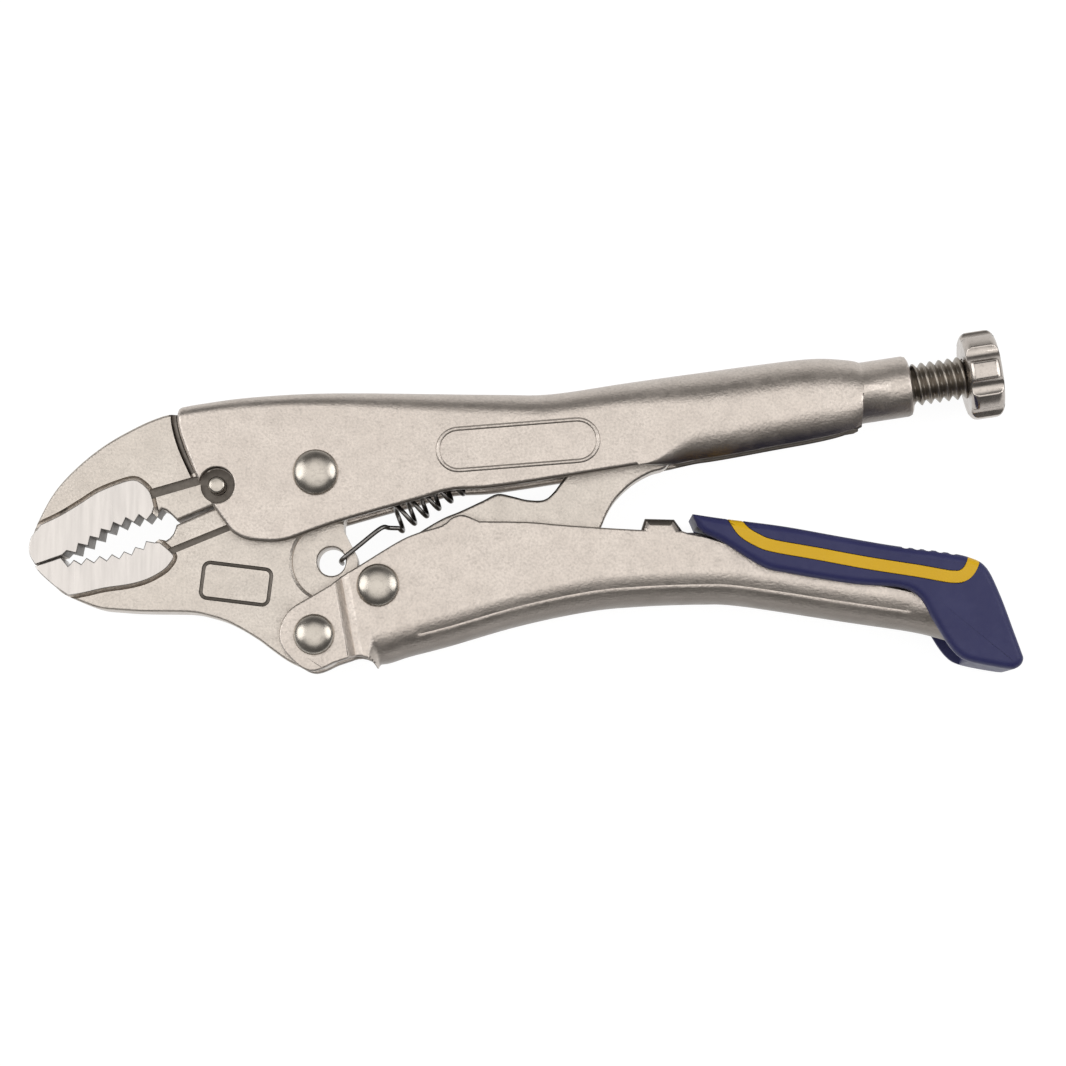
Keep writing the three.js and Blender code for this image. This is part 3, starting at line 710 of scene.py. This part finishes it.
# ---- Jaws ----
def teeth(valleys, depth, side):
    """Zigzag corners: valleys on the curve, and tips half way between them, off it by depth."""
    curve = smooth_run(valleys, 0.05)
    lengths = [0.0]
    for a, b in zip(curve, curve[1:]):
        lengths.append(lengths[-1] + (b - a).length)

    points = []
    steps = 2 * (TOOTH_COUNT - 1)
    for k in range(steps + 1):
        wanted = k / steps * lengths[-1]
        i = next(i for i, length in enumerate(lengths) if length >= wanted - 1e-9)
        point = curve[i]
        if k % 2:
            tangent = (curve[i] - curve[i - 1]).normalized()
            point = point + Vector((-tangent.y, tangent.x)) * depth * side
        points.append((point.x, point.y))
    return points


UPPER_TEETH = teeth([(-64.6, -7.35), (-61.6, -5.5), (-58.6, -3.6), (-55.6, -2.5), (-52.7, -2.05)], 1.0, -1)
LOWER_TEETH = teeth([(-64.4, -9.55), (-60.8, -9.0), (-57.1, -8.4), (-54.4, -7.4), (-52.4, -6.2)], 0.8, 1)
UPPER_JAW_TOP = [(-69.9, -6.6), (-68.7, -3.3), (-66.5, 0.8), (-63.4, 4.3), (-59.3, 7.6),
                 (-54.5, 10.3), (-51.3, 11.6), (-50.2, 11.8)]
LOWER_JAW_BOTTOM = [(-37.6, -19.9), (-39.7, -18.6), (-42.2, -17.3), (-44.7, -16.5), (-47.4, -16),
                    (-53.7, -15.9), (-57.2, -15.7), (-60.4, -15.3), (-64.6, -13.6), (-66.3, -12.3),
                    (-68.1, -10.7), (-68.95, -9.7)]

UPPER_JAW_RUNS = [
    (-69.0, -9.3), (-65.2, -7.95), *UPPER_TEETH,
    [(-52.1, -2.6), (-51.4, -1.5), (-50.2, -2.2), (-49.3, -3.1)],
    (-44.4, -1.1), (-37.4, 1.8),
    [(-36.2, 3.2), (-36.0, 5.5), (-37.4, 10)],
    (-49.15, 9.95), (-49.25, 11.75),
    UPPER_JAW_TOP[::-1],
    [(-69.9, -6.8), (-69.7, -8.2), (-69.02, -9.3)],
]
UPPER_PAD_EDGE = [(-52.5, -1.2), (-53.1, 0.9), (-54.2, 2.1), (-55.4, 2.6), (-57.4, 2.1), (-60.3, 0.9),
                  (-62.8, -0.7), (-65.6, -2.4), (-68.3, -3.7)]
UPPER_PAD_RUNS = [
    (-69.0, -9.3), (-65.2, -7.95), *UPPER_TEETH, UPPER_PAD_EDGE,
    [(-69.6, -5.4), (-69.9, -6.6), (-69.75, -8), (-69.0, -9.3)],
]
UPPER_GROOVE = ((-53.0, 0.6), (-44.0, 3.2), 1.35)
LOWER_GROOVE = ((-51, -7.75), (-39.5, -3.05), 0.95)
SHEET_SEAM = [(-49.8, 12.5), (-49.7, 10.4), (-48.8, 7.2), (-47.0, 3.2)]
LOWER_JAW_RUNS = [
    (-69.0, -9.55), (-65.4, -8.3), *LOWER_TEETH,
    [(-51.8, -5.7), (-50.8, -5.9), (-49.8, -5.0), (-49.35, -3.7)],
    (-44.6, -1.65), (-37.6, 1.2),
    [(-34.9, 2.6), (-34.6, 5.6), (-32.2, 8.1), (-29.3, 8.65), (-26.4, 7.4), (-24.7, 4.4), (-25, 0),
     (-26, -3.8), (-25.4, -5.7), (-24.2, -8.0), (-24.15, -9.6), (-25.2, -13), (-25.2, -17),
     (-25.4, -20.4), (-27.6, -23.1), (-30.4, -23.75), (-33.4, -22.9), (-37.6, -19.9)],
    LOWER_JAW_BOTTOM,
]
LOWER_PAD_EDGE = [(-51.6, -6.2), (-50.2, -7.4), (-49.7, -8.2), (-50.2, -9.2), (-51.2, -10.2),
                  (-53.4, -11.4), (-55.9, -12.1), (-59.3, -12.6), (-61.9, -13.2), (-64.3, -13.65)]
LOWER_PAD_RUNS = [
    (-69.0, -9.55), (-65.4, -8.3), *LOWER_TEETH, LOWER_PAD_EDGE,
    [(-66.3, -12.3), (-68.1, -10.7), (-68.95, -9.7)],
]


def moat(edge, width):
    """Cutters for the relief groove that the grinding wheel leaves along a pad's edge."""
    run = smooth_run(edge, 0.5)
    run = [run[0] + (run[0] - run[1]).normalized() * 1.5, *run,
           run[-1] + (run[-1] - run[-2]).normalized() * 1.5]
    return [tube("moat", [(p.x, p.y, side * (JAW_HALF + 0.12)) for p in run], width, 16)
            for side in (1, -1)]


def slot_cutter(a, b, width):
    """Cutters for a straight groove with a flat floor, on both faces."""
    a, b = Vector(a), Vector(b)
    across = Vector((a.y - b.y, b.x - a.x)).normalized() * width / 2
    corners = [a - across, b - across, b + across, a + across]
    floor = JAW_HALF - GROOVE_DEPTH
    return [plate("slot", corners, floor, JAW_CLEAR), plate("slot", corners, -JAW_CLEAR, -floor)]


BITE_ZONE = ((-65.5, -10), (-51.6, -1.6))
SEAM_ZONE = ((-50.6, 3.4), (-45, 13))
LABEL_ZONE = ((-46.2, -15), (-35.6, -8.9))
GROUND_FINISH = 1
# Material index for painted shade in recesses.
PAINTED_SHADE_FINISH = 2


def within(zone, point):
    """Whether a drawn point lies in a zone, given by its lowest and highest corner."""
    (left, low), (right, high) = zone
    return left < point.x < right and low < point.y < high


def face_finishes(obj, bite_finish):
    """Ground pads, painted shade on groove floors and groove lines, and the given finish on the flanks of
    the teeth.
    """
    for face in obj.data.polygons:
        centre = face.center / MM - SHIFT
        height = abs(centre.z)
        floor = abs(height - JAW_HALF + GROOVE_DEPTH) < 0.02 and abs(face.normal.z) > 0.9
        line = (within(SEAM_ZONE, centre) or within(LABEL_ZONE, centre)) \
            and JAW_HALF - 0.5 < height < JAW_HALF - 0.03
        face.material_index = 0
        # Painted shade: groove floors and the seam and label groove lines get the dark steel.
        if floor or line:
            face.material_index = PAINTED_SHADE_FINISH
        if within(BITE_ZONE, centre) and abs(face.normal.z) < 0.3:
            face.material_index = bite_finish
        if height > PAD_HALF - 0.12:
            face.material_index = GROUND_FINISH
    return obj


def jaw(name, runs, pad_runs, pad_edge, groove, extra_cuts):
    """A forged jaw: its plate, grooved and bored, with a ground pad that stands a little proud."""
    body = plate(name, outline(runs, 0.7), -JAW_HALF, JAW_HALF, JAW_FILLET)
    pad = plate("pad", outline(pad_runs, 0.7), -PAD_HALF, PAD_HALF, 0.16, 3)
    cut(body, *moat(pad_edge, PAD_GROOVE), *slot_cutter(*groove), *extra_cuts)
    join(body, pad)
    return clean(body)


def upper_jaw():
    floor = JAW_HALF - GROOVE_DEPTH
    counterbores = [at(lathe("counterbore", [
        (0, side * floor), (PIN_RECESS, side * floor), (PIN_RECESS, side * JAW_CLEAR),
        (0, side * JAW_CLEAR)], 48), JAW_PIN) for side in (1, -1)]
    obj = jaw("upper_jaw_forging", UPPER_JAW_RUNS, UPPER_PAD_RUNS, UPPER_PAD_EDGE,
              UPPER_GROOVE, [drill(JAW_PIN, PIN_HOLE, JAW_HALF), *counterbores, *moat(SHEET_SEAM, 0.5)])
    settle(obj, "upper_handle", ["upper_jaw"], "jaw_steel", FORGED, GROUND, PAINTED_SHADE_STEEL, crease=34)
    # The upper teeth's flanks get painted shade in the bite between the jaws.
    return face_finishes(obj, PAINTED_SHADE_FINISH)


def lower_jaw():
    recess_rim = [(RECESS_RADIUS, 0.0), (RECESS_RADIUS + 0.12, 0.42), (RECESS_RADIUS + 0.5, 0.72),
                  (RECESS_RADIUS + 0.5, 3)]
    profile = [(0, RECESS_HALF), *[(r, RECESS_HALF + h) for r, h in recess_rim], (0, RECESS_HALF + 3)]
    recesses = [at(lathe("recess", [(r, side * z) for r, z in profile], 96), SPRING_HOLE)
                for side in (1, -1)]
    frame_line = stadium((-40.95, -11.95), 4.75, 2.5, math.radians(-7), 0.9)
    obj = jaw("lower_jaw_forging", LOWER_JAW_RUNS, LOWER_PAD_RUNS, LOWER_PAD_EDGE,
              LOWER_GROOVE,
              [*recesses, drill(SPRING_HOLE, 2.0, RECESS_HALF, 0.3),
               drill(MAIN_PIVOT, RIVET_HOLE, JAW_HALF), drill(HANDLE_PIVOT, RIVET_HOLE, JAW_HALF),
               *bead(frame_line, JAW_HALF + 0.05, 0.28)])
    settle(obj, "lower_jaw", ["lower_jaw"], "jaw_steel", FORGED, GROUND, PAINTED_SHADE_STEEL, crease=34)
    return face_finishes(obj, GROUND_FINISH)


# ---- Rivets and pin ----
def rivet(name, centre, half, radius, height):
    """A shank with a domed head on each side, resting on faces half apart from the mid-plane."""
    face = half + 0.05
    rim = 0.22
    dome = [(radius * math.sin(a) * (0.985 if a > 1.4 else 1), face + rim + (height - rim) * math.cos(a))
            for a in spread(0, math.pi / 2, 16)]
    side = [(0, dome[0][1]), *dome[1:], (radius, face + rim * 0.5), (radius - 0.08, face),
            (RIVET_SHANK, face)]
    profile = side + [(r, -z) for r, z in reversed(side)]
    return at(lathe(name, profile, 72), centre)


def rivets():
    for node, body, centre, half, radius, height in (
            ("main_pivot_rivet", "upper_handle", MAIN_PIVOT, UPPER_HALF, 3.2, 1.55),
            ("handle_pivot_rivet", "lower_jaw", HANDLE_PIVOT, UPPER_HALF, 2.85, 1.55),
            ("link_pivot_rivet", "lower_handle", LINK_PIVOT, LOWER_HALF, 3.0, 1.5)):
        piece = rivet(node + "_domed", centre, half, radius, height)
        settle(piece, body, [node], "rivet_steel", RIVET)


def jaw_pin():
    end = UPPER_HALF - 0.1
    side = [(0, end), (0.85, end), (1.08, end - 0.1), (1.2, end - 0.35)]
    piece = at(lathe("upper_jaw_dowel", side + [(r, -z) for r, z in reversed(side)], 48), JAW_PIN)
    settle(piece, "upper_handle", ["upper_jaw_pin"], "rivet_steel", RIVET)


# ---- Lower handle ----
lower_bottom = along([
    (-28, -22.2), (-24.5, -22.5), (-20.5, -23.1), (-16.5, -22), (-11.3, -20.6), (-1.3, -17.7),
    (8.3, -15.7), (15.4, -15.0), (23.8, -14.7), (29.7, -14.95), (43.9, -17.1), (53.9, -18.6), (59, -19.9),
])
TROUGH_START = -20.6
PANEL_START = -15.2
PANEL_END = 53
PANEL_ANGLE = math.radians(62)
PANEL_RISE = 0.12

EAR_ARC = [(-27.1, -23.1), (-29.3, -24.1), (-30.8, -24.15), (-32.4, -23.2), (-34.3, -21),
           (-34.75, -18.6), (-33.4, -15.8), (-30.3, -13.8), (-27.6, -12.2)]
LOWER_TOP = [(-26.1, -10.9), (-23.9, -9.6), (-18.4, -6.2), (-15.5, -4.9), (-12.2, -3.9),
             (-10.8, -2.8), (-9.4, -2.4), (-8.1, -2.8), (-7, -3.3)]
TOP_MIDDLE = [(-7, -3.3), (-0.3, -3.4), (4.5, -3.8), (10.1, -4.2), (15.4, -4.5)]
TAB_TOP = [(15.6, -4.5), (16.1, -2.9), (20.2, -3.0), (21.4, -4.7)]
TOP_REAR = [(21.4, -4.7), (22.3, -5), (24.9, -5.5), (28, -6.5), (30.7, -7.5), (33.7, -8.9), (37.4, -9.85),
            (45, -11.4), (52, -12.75), (57.6, -14.2)]
FOLD_ZONE = ((15, -4.0), (21.6, -2))
LOWER_SIDE = [EAR_ARC, LOWER_TOP, TOP_MIDDLE, TOP_REAR, [(58.6, -15.2), (LOWER_END, -16.4)],
              (LOWER_END, -26), (-20.9, -26),
              [(-21.0, -24.3), (-21.8, -22.9), (-23.0, -22.25), (-24.2, -22.2), (-25.6, -22.6),
               (-27.1, -23.1)]]


def past_step(x, y):
    """How far a point lies behind the joggle's front line."""
    return (x - STEP_POINT[0]) * math.cos(STEP_TILT) + (y - STEP_POINT[1]) * math.sin(STEP_TILT)


def wall_height(x, y):
    """Height of the outer wall: the ears, the joggle's steep side and groove, then the flat wall."""
    across = past_step(x, y)
    fall = (UPPER_HALF - LOWER_HALF + STEP_DIP) * min(max(across / STEP_FALL, 0), 1)
    rise = STEP_DIP * min(max((across - STEP_FALL) / (STEP_REST - STEP_FALL), 0), 1)
    return UPPER_HALF - fall + rise


def inner_height(x, y):
    """Height of the inner wall, which follows the outer one through the joggle."""
    ears, walls = UPPER_HALF - SHEET - 0.05, LOWER_HALF - LOWER_SHEET
    return ears + (walls - ears) * smoothstep(past_step(x, y), 0, STEP_REST)


def lower_ring(x):
    """The trough's section at x, leaning with the joggle in front: walls and a panelled, round bottom."""
    lean = math.tan(STEP_TILT) * (1 - smoothstep(x, -24, -10))
    foot = x + 12 * lean
    bottom = lower_bottom(foot) - 10 * (1 - smoothstep(foot, TROUGH_START - 4, TROUGH_START))
    panel = (PANEL_RISE * smoothstep(foot, PANEL_START - 0.4, PANEL_START + 0.4)
             * (1 - smoothstep(foot, PANEL_END - 0.5, PANEL_END + 0.5)))

    def side(radius, rise):
        centre = bottom + LOWER_HALF
        path = [(y, radius) for y in spread(1.0, centre, 16)[:-1]]
        for a in spread(math.pi / 2, PANEL_ANGLE, 6):
            share = (math.pi / 2 - a) / (math.pi / 2 - PANEL_ANGLE)
            r = radius - rise * smoothstep(share, 0, 1)
            path.append((centre - r * math.cos(a), r * math.sin(a)))
        for a in spread(PANEL_ANGLE - 0.035, 0, 12)[:-1]:
            path.append((centre - radius * math.cos(a), radius * math.sin(a)))
        return path + [(centre - radius, 0)]

    def place(y, z, height, half):
        along_handle = x - lean * (y - STEP_POINT[1])
        return (along_handle, y, z * height(along_handle, y) / half)

    half = LOWER_HALF - LOWER_SHEET
    outer = [place(y, z, wall_height, LOWER_HALF) for y, z in side(LOWER_HALF, panel)]
    inner = [place(y, z, inner_height, half) for y, z in side(half, 0)]
    whole = outer + [(px, y, -z) for px, y, z in outer[-2::-1]]
    hollow = inner + [(px, y, -z) for px, y, z in inner[-2::-1]]
    return whole + hollow[::-1]


def lower_handle():
    """A pressed trough with two stepped ears in front and a folded tab on its upper edge."""
    stations = [*spread(-39, -27.6, 10), *spread(-27.4, -24.9, 40), *spread(-24.7, -17.2, 30),
                *spread(-17, -14.6, 16), *spread(-14, 50, 70), *spread(51, 55, 12),
                *spread(55.6, LOWER_END + 1, 5)]
    body = loft("lower_handle_shell", [lower_ring(x) for x in stations])
    keep(body, plate("side", outline(LOWER_SIDE, 0.7), -OUTLINE_HALF, OUTLINE_HALF))
    cut(body, drill(HANDLE_PIVOT, RIVET_HOLE, UPPER_HALF), drill(LINK_PIVOT, RIVET_HOLE, LOWER_HALF))
    soften(body, 0.3, 38, 3)
    fold_half = LOWER_HALF + 0.01
    fold_outline = outline([*TAB_TOP, (21.6, -7), (15.5, -7)], 0.5)
    fold = plate("fold", fold_outline, -fold_half, fold_half, 1.2, 8)
    inside = LOWER_HALF - LOWER_SHEET
    below = outline([(14, -9), (23, -9), (23, -4.4), (14, -4.4)])
    cut(fold, plate("under_fold", below, -inside, inside))
    join(body, fold)
    settle(body, "lower_handle", ["lower_handle"], "plated_steel", NICKEL, PAINTED_SHADE_STEEL)
    # Painted shade: the folded tab's faces get the dark steel.
    for face in body.data.polygons:
        face.material_index = 1 if within(FOLD_ZONE, face.center / MM - SHIFT) else 0
    return body


# ---- Toggle link and release lever ----
LINK_RUNS = [
    [(-24, -13.3), (-24.1, -11.3), (-22.7, -9.5), (-20.4, -8.6), (-16.5, -5.4), (-12.5, -2.9),
     (-9.7, -1.7), (-6.5, -0.2), (-4.5, 0.75), (-2.4, 0.4), (-0.3, -0.1), (2, -0.1), (3.4, 1),
     (4.8, 2.9), (7.4, 6.4), (10, 9.8), (13, 12), (16.4, 12.4), (19.2, 10.8), (20.3, 8.2), (20, 5.8),
     (18.9, 4.3), (17, 3.7), (14.4, 2.2), (12.1, 0), (10.8, -2.1), (10, -3.9), (8.4, -6.4), (3, -8.6),
     (-8, -12), (-17, -14.9), (-20.4, -15.4), (-23, -14.8), (-24, -13.3)],
]
LEVER_RUNS = [
    [(13.6, -6.4), (15.6, -5.1), (18.7, -4.6), (21.2, -4.75), (24, -4.9), (28, -6.4), (33.7, -8.6),
     (37.4, -9.4), (45, -10.7), (52, -11.8), (56.5, -12.6)],
    [(56.5, -13.1), (52, -12.7), (45, -12.1), (37.4, -11.3), (28, -9), (21, -7.3), (16, -7.3),
     (13.8, -7.2)],
]


def toggle_link():
    obj = plate("toggle_link_plate", outline(LINK_RUNS, 0.7), -LINK_HALF, LINK_HALF, 0.45)
    cut(obj, drill(LINK_PIVOT, RIVET_HOLE, LINK_HALF))
    clean(obj)
    return settle(obj, "toggle_link", ["toggle_link"], "plated_steel", FORGED)


def release_lever():
    obj = plate("release_lever_plate", outline(LEVER_RUNS, 0.6), -CORE_HALF, CORE_HALF, 0.3)
    return settle(obj, "release_lever", ["release_lever"], "plated_steel", NICKEL)


# ---- Grip ----
GRIP_TOP = [(22.6, -2.4), (27.4, -3.1), (35.2, -4.1), (43.6, -5.6), (50.6, -6.8), (57, -7.6), (61, -8.4),
            (63.4, -9.8), (65.3, -13.6), (67.2, -18.8), (68.2, -21.6)]
GRIP_RUNS = [
    [*GRIP_TOP, (68.45, -22.5), (68.15, -23.3), (67.4, -23.85), (66.4, -23.95), (62.6, -23.3),
     (60.4, -22.7), (59.2, -21.9), (57.9, -20.3), (56, -17.1), (54.2, -14), (51.4, -12.6), (45, -12.1),
     (36.5, -10.7), (32.4, -9.7), (27, -6.4), (24.2, -5), (23, -3.6)],
]
SLOT_CEILING = [(20, -2.6), (24, -4.3), (28, -5.8), (33.7, -8.1), (37.4, -8.9), (45, -10.2),
                (52, -11.3), (57.5, -12.3), (60.9, -13.4)]
STRIPE_LINE = [(27.6, -1.5), (28.3, -2.8), (29.6, -4.8), (31.6, -6.1), (33.8, -6.9), (39.9, -8),
               (46.9, -9.3), (53.9, -10.4), (58.6, -11.2), (60.3, -10.9), (61.3, -9.7), (62, -7.6),
               (62.3, -6.0)]
SEAM_ROUND_END = 60.5
RIB_SPAN = (51.8, 58.6)
RIB_COUNT = 4


def stripe_region(offset):
    """Everything above the stripe's centre line, with the line moved down by offset."""
    run = smooth_run(STRIPE_LINE, 0.5)
    shifted = []
    for i, point in enumerate(run):
        tangent = (run[min(i + 1, len(run) - 1)] - run[max(i - 1, 0)]).normalized()
        shifted.append(point + Vector((tangent.y, -tangent.x)) * offset)
    above = Vector((0, 8))
    region = [*shifted, shifted[-1] + above, shifted[0] + above]
    return plate("stripe", region, -OUTLINE_HALF, OUTLINE_HALF)


def grip_blank(name):
    """The grip's whole shape: a rounded plate, slotted from below to straddle the lower handle."""
    blank = plate(name, outline(GRIP_RUNS, 0.4), -GRIP_HALF, GRIP_HALF, 1.15, 7)
    ceiling = outline([SLOT_CEILING, (60.9, -26), (20, -26)], 0.7)
    return cut(blank, plate("straddle", ceiling, -GRIP_SLOT_HALF, GRIP_SLOT_HALF))


def rib_cutters():
    """Shallow round flutes across the top of the grip, where the thumb rests."""
    top = smooth_run(GRIP_TOP, 0.4)
    flutes = []
    for x in spread(RIB_SPAN[0], RIB_SPAN[1], RIB_COUNT):
        i = next(k for k, p in enumerate(top) if p.x >= x)
        tangent = (top[i] - top[i - 1]).normalized()
        centre = top[i] + Vector((-tangent.y, tangent.x)) * 0.62
        flutes.append(tube("flute", [(centre.x, centre.y, z) for z in (-8, -3, 3, 8)], 0.85, 20))
    return flutes


def grip():
    """The blank split along the stripe into the body, the stripe's layer and the ribbed pad."""
    half = STRIPE / 2
    seam = 0.03
    body = cut(grip_blank("grip_body_shell"), stripe_region(half + seam))
    core = cut(keep(grip_blank("grip_core_stripe"), stripe_region(half)), stripe_region(-half))
    pad = keep(grip_blank("grip_pad_inlay"), stripe_region(-half - seam))
    cut(pad, *rib_cutters())
    for obj, node, slot, material in ((body, "grip_body", "blue_grip", BLUE),
                                      (core, "grip_core", "yellow_grip", YELLOW),
                                      (pad, "grip_pad", "blue_grip", BLUE)):
        soften(obj, 0.13, 42, 2, lambda p: p.x < SEAM_ROUND_END)
        settle(obj, "release_lever", [node], slot, material)


# ---- Adjusting screw and knob ----
SCREW_TIP = -34.4
SCREW_END = KNOB_MIDDLE + 1.9


def adjusting_screw():
    """A rod with a true helical thread, from a chamfered tip to its seat in the knob."""
    sides = 48
    per_turn = 10
    rings = []
    count = round((SCREW_END - SCREW_TIP) / SCREW_PITCH * per_turn)
    for i in range(count + 1):
        along_axis = SCREW_TIP + (SCREW_END - SCREW_TIP) * i / count
        lead_in = min(1, (along_axis - SCREW_TIP) / 1.6)
        limit = 1.3 + (SCREW_RADIUS - 1.3) * lead_in
        ring = []
        for k in range(sides):
            angle = 2 * math.pi * k / sides
            phase = (along_axis / SCREW_PITCH - k / sides) % 1
            ridge = min(1.0, max(0.0, (1 - abs(2 * phase - 1)) * 1.25 - 0.1))
            radius = min(SCREW_CORE + (SCREW_RADIUS - SCREW_CORE) * ridge, limit)
            ring.append((radius * math.cos(angle), radius * math.sin(angle), along_axis))
        rings.append(ring)
    obj = on_screw_axis(loft("adjusting_screw_thread", rings))
    return settle(obj, "adjusting_screw", ["adjusting_screw"], "screw_steel", SCREW, crease=55)


def adjusting_knob():
    """A fluted knob: a rounded disc whose rim is scooped out between its lobes."""
    half = KNOB_WIDTH / 2
    fillet = 1.15
    rim = [(KNOB_RADIUS - fillet * (1 - math.sin(a)), half - fillet * (1 - math.cos(a)))
           for a in spread(0, math.pi / 2, 9)]
    face = [(0, half), *rim]
    profile = face + [(r, -z) for r, z in reversed(face)]
    knob = lathe("adjusting_knob_fluted", profile, 128)
    scoops = []
    for i in range(KNOB_LOBES):
        angle = (i + 0.5) * 2 * math.pi / KNOB_LOBES
        scoop = lathe("scoop", [(0, -4), (SCOOP_RADIUS, -4), (SCOOP_RADIUS, 4), (0, 4)], 40)
        scoops.append(at(scoop, (SCOOP_RING * math.cos(angle), SCOOP_RING * math.sin(angle))))
    cut(knob, *scoops)
    soften(knob, 0.16, 30, 2)
    socket = lathe("socket", [(0, -4), (SCREW_CORE + 0.35, -4), (SCREW_CORE + 0.35, 2.1), (0, 2.1)], 48)
    cut(knob, socket)
    on_screw_axis(knob, KNOB_MIDDLE)
    return settle(knob, "adjusting_knob", ["adjusting_knob"], "screw_steel", KNOB, crease=34)


# ---- Jaw spring ----
COIL_START = Vector((-19.0, -2.95, 0))
COIL_END = Vector((-2.3, 7.3, 0))
FRONT_LEG = [(-26.45, -8.7, -2.7), (-26.45, -8.7, -1), (-26.4, -8.7, 1.6), (-26.1, -8.45, 2.9),
             (-25.3, -7.8, 3.2), (-23.4, -6.25, 3.2), (-21.4, -4.6, 3.0), (-20.4, -3.95, 2.5),
             (-19.7, -4.0, 1.7)]
REAR_LEG = [(-1.2, 8.6, -1.2), (0.4, 9.4, -0.4), (1.8, 10.6, 0), (1.6, 11.9, 0)]


def jaw_spring():
    """An open coil with a hooked leg through the lower jaw's eye."""
    axis = (COIL_END - COIL_START).normalized()
    side = Vector((-axis.y, axis.x, 0))
    turns = (COIL_END - COIL_START).length / COIL_PITCH
    steps = round(turns * 26)
    coil = []
    for i in range(steps + 1):
        angle = 2 * math.pi * turns * i / steps + math.pi * 0.75
        coil.append(COIL_START + (COIL_END - COIL_START) * i / steps
                    + COIL_RADIUS * (math.cos(angle) * side + math.sin(angle) * Vector((0, 0, 1))))
    front = smooth_run([*FRONT_LEG, tuple(coil[0])], 0.35)
    rear = smooth_run([tuple(coil[-1]), *REAR_LEG], 0.35)
    obj = tube("jaw_spring_coil", [*front[:-1], *coil, *rear[1:]], WIRE_RADIUS, 12)
    moved(obj, Matrix.Scale(MM, 4) @ Matrix.Translation(SHIFT))
    obj.data.shade_smooth()
    obj.data.materials.append(WIRE)
    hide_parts("jaw_spring")
    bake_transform(obj)
    return obj


# ---- Studio ----
def floor():
    """A sheet of bright paper under the tool."""
    size = 1.6
    mesh = bpy.data.meshes.new("studio_floor")
    mesh.from_pydata([(-size, -size, 0), (size, -size, 0), (size, size, 0), (-size, size, 0)], [],
                     [(0, 1, 2, 3)])
    obj = bpy.data.objects.new("studio_floor", mesh)
    scene.collection.objects.link(obj)
    n = Surface("studio_floor", Roughness=0.9, Specular_IOR_Level=0.1, Emission_Color=(1, 1, 1, 1),
                Emission_Strength=0.93)
    paper = n.mix(n.noise(40, 3), (0.12, 0.12, 0.12), (0.14, 0.14, 0.14))
    mesh.materials.append(n.wire(Base_Color=paper))


def sky():
    """Soft studio surroundings: bright overhead, a dark band all round, and a paler far horizon."""
    world = bpy.data.worlds.new("studio")
    scene.world = world
    world.use_nodes = True
    n = Nodes(world.node_tree)
    direction = n.add("ShaderNodeSeparateXYZ", {0: n.around}).outputs
    overhead = [(0.91, 0.85), (1.0, 1.0)]
    near = [(0.0, 0.13), (0.35, 0.08), (0.76, 0.09), *overhead]
    far = [(0.0, 0.45), (0.28, 0.22), (0.5, 0.10), (0.76, 0.085), *overhead]
    shades = [n.ramp(direction["Z"], *[(height, (level, level * 0.985, level * 0.97))
                                       for height, level in stops]) for stops in (near, far)]
    share = n.add("ShaderNodeMapRange", {"Value": direction["Y"], "From Min": 0.25, "From Max": 0.7})
    background = n.tree.nodes["Background"]
    background.inputs["Strength"].default_value = 1.68
    n.tree.links.new(n.mix(share.outputs[0], *shades), background.inputs[0])


def softbox(name, place, size, power):
    """A round lamp that faces the tool."""
    data = bpy.data.lights.new(name, "AREA")
    data.shape = "DISK"
    data.size = size
    data.energy = power
    obj = bpy.data.objects.new(name, data)
    obj.location = place
    obj.rotation_mode = "QUATERNION"
    obj.rotation_quaternion = (-Vector(place)).to_track_quat("-Z", "Y")
    scene.collection.objects.link(obj)


def camera():
    """Straight above the tool, leaning a little towards its lower side."""
    image_width = 1066
    focal = 3411
    distance = 0.48
    elevation = math.radians(85.5)
    data = bpy.data.cameras.new("camera")
    data.sensor_width = 36
    data.lens = data.sensor_width * focal / image_width
    data.clip_start, data.clip_end = 0.01, 10
    obj = bpy.data.objects.new("camera", data)
    scene.collection.objects.link(obj)
    scene.camera = obj
    target = in_frame(0.49, -4.59)
    back = Vector((0, -math.cos(elevation), math.sin(elevation)))
    obj.location = target + back * distance
    obj.rotation_mode = "QUATERNION"
    obj.rotation_quaternion = (-back).to_track_quat("-Z", "Y")


camera()
upper_handle()
upper_jaw()
lower_jaw()
rivets()
jaw_pin()
lower_handle()
toggle_link()
release_lever()
grip()
adjusting_screw()
adjusting_knob()
jaw_spring()
floor()
sky()
softbox("left_softbox", (-0.75, 0.12, 0.62), 0.72, 3.6)
softbox("right_softbox", (0.75, 0.15, 0.62), 0.72, 3.6)
scene.view_settings.view_transform = "Standard"
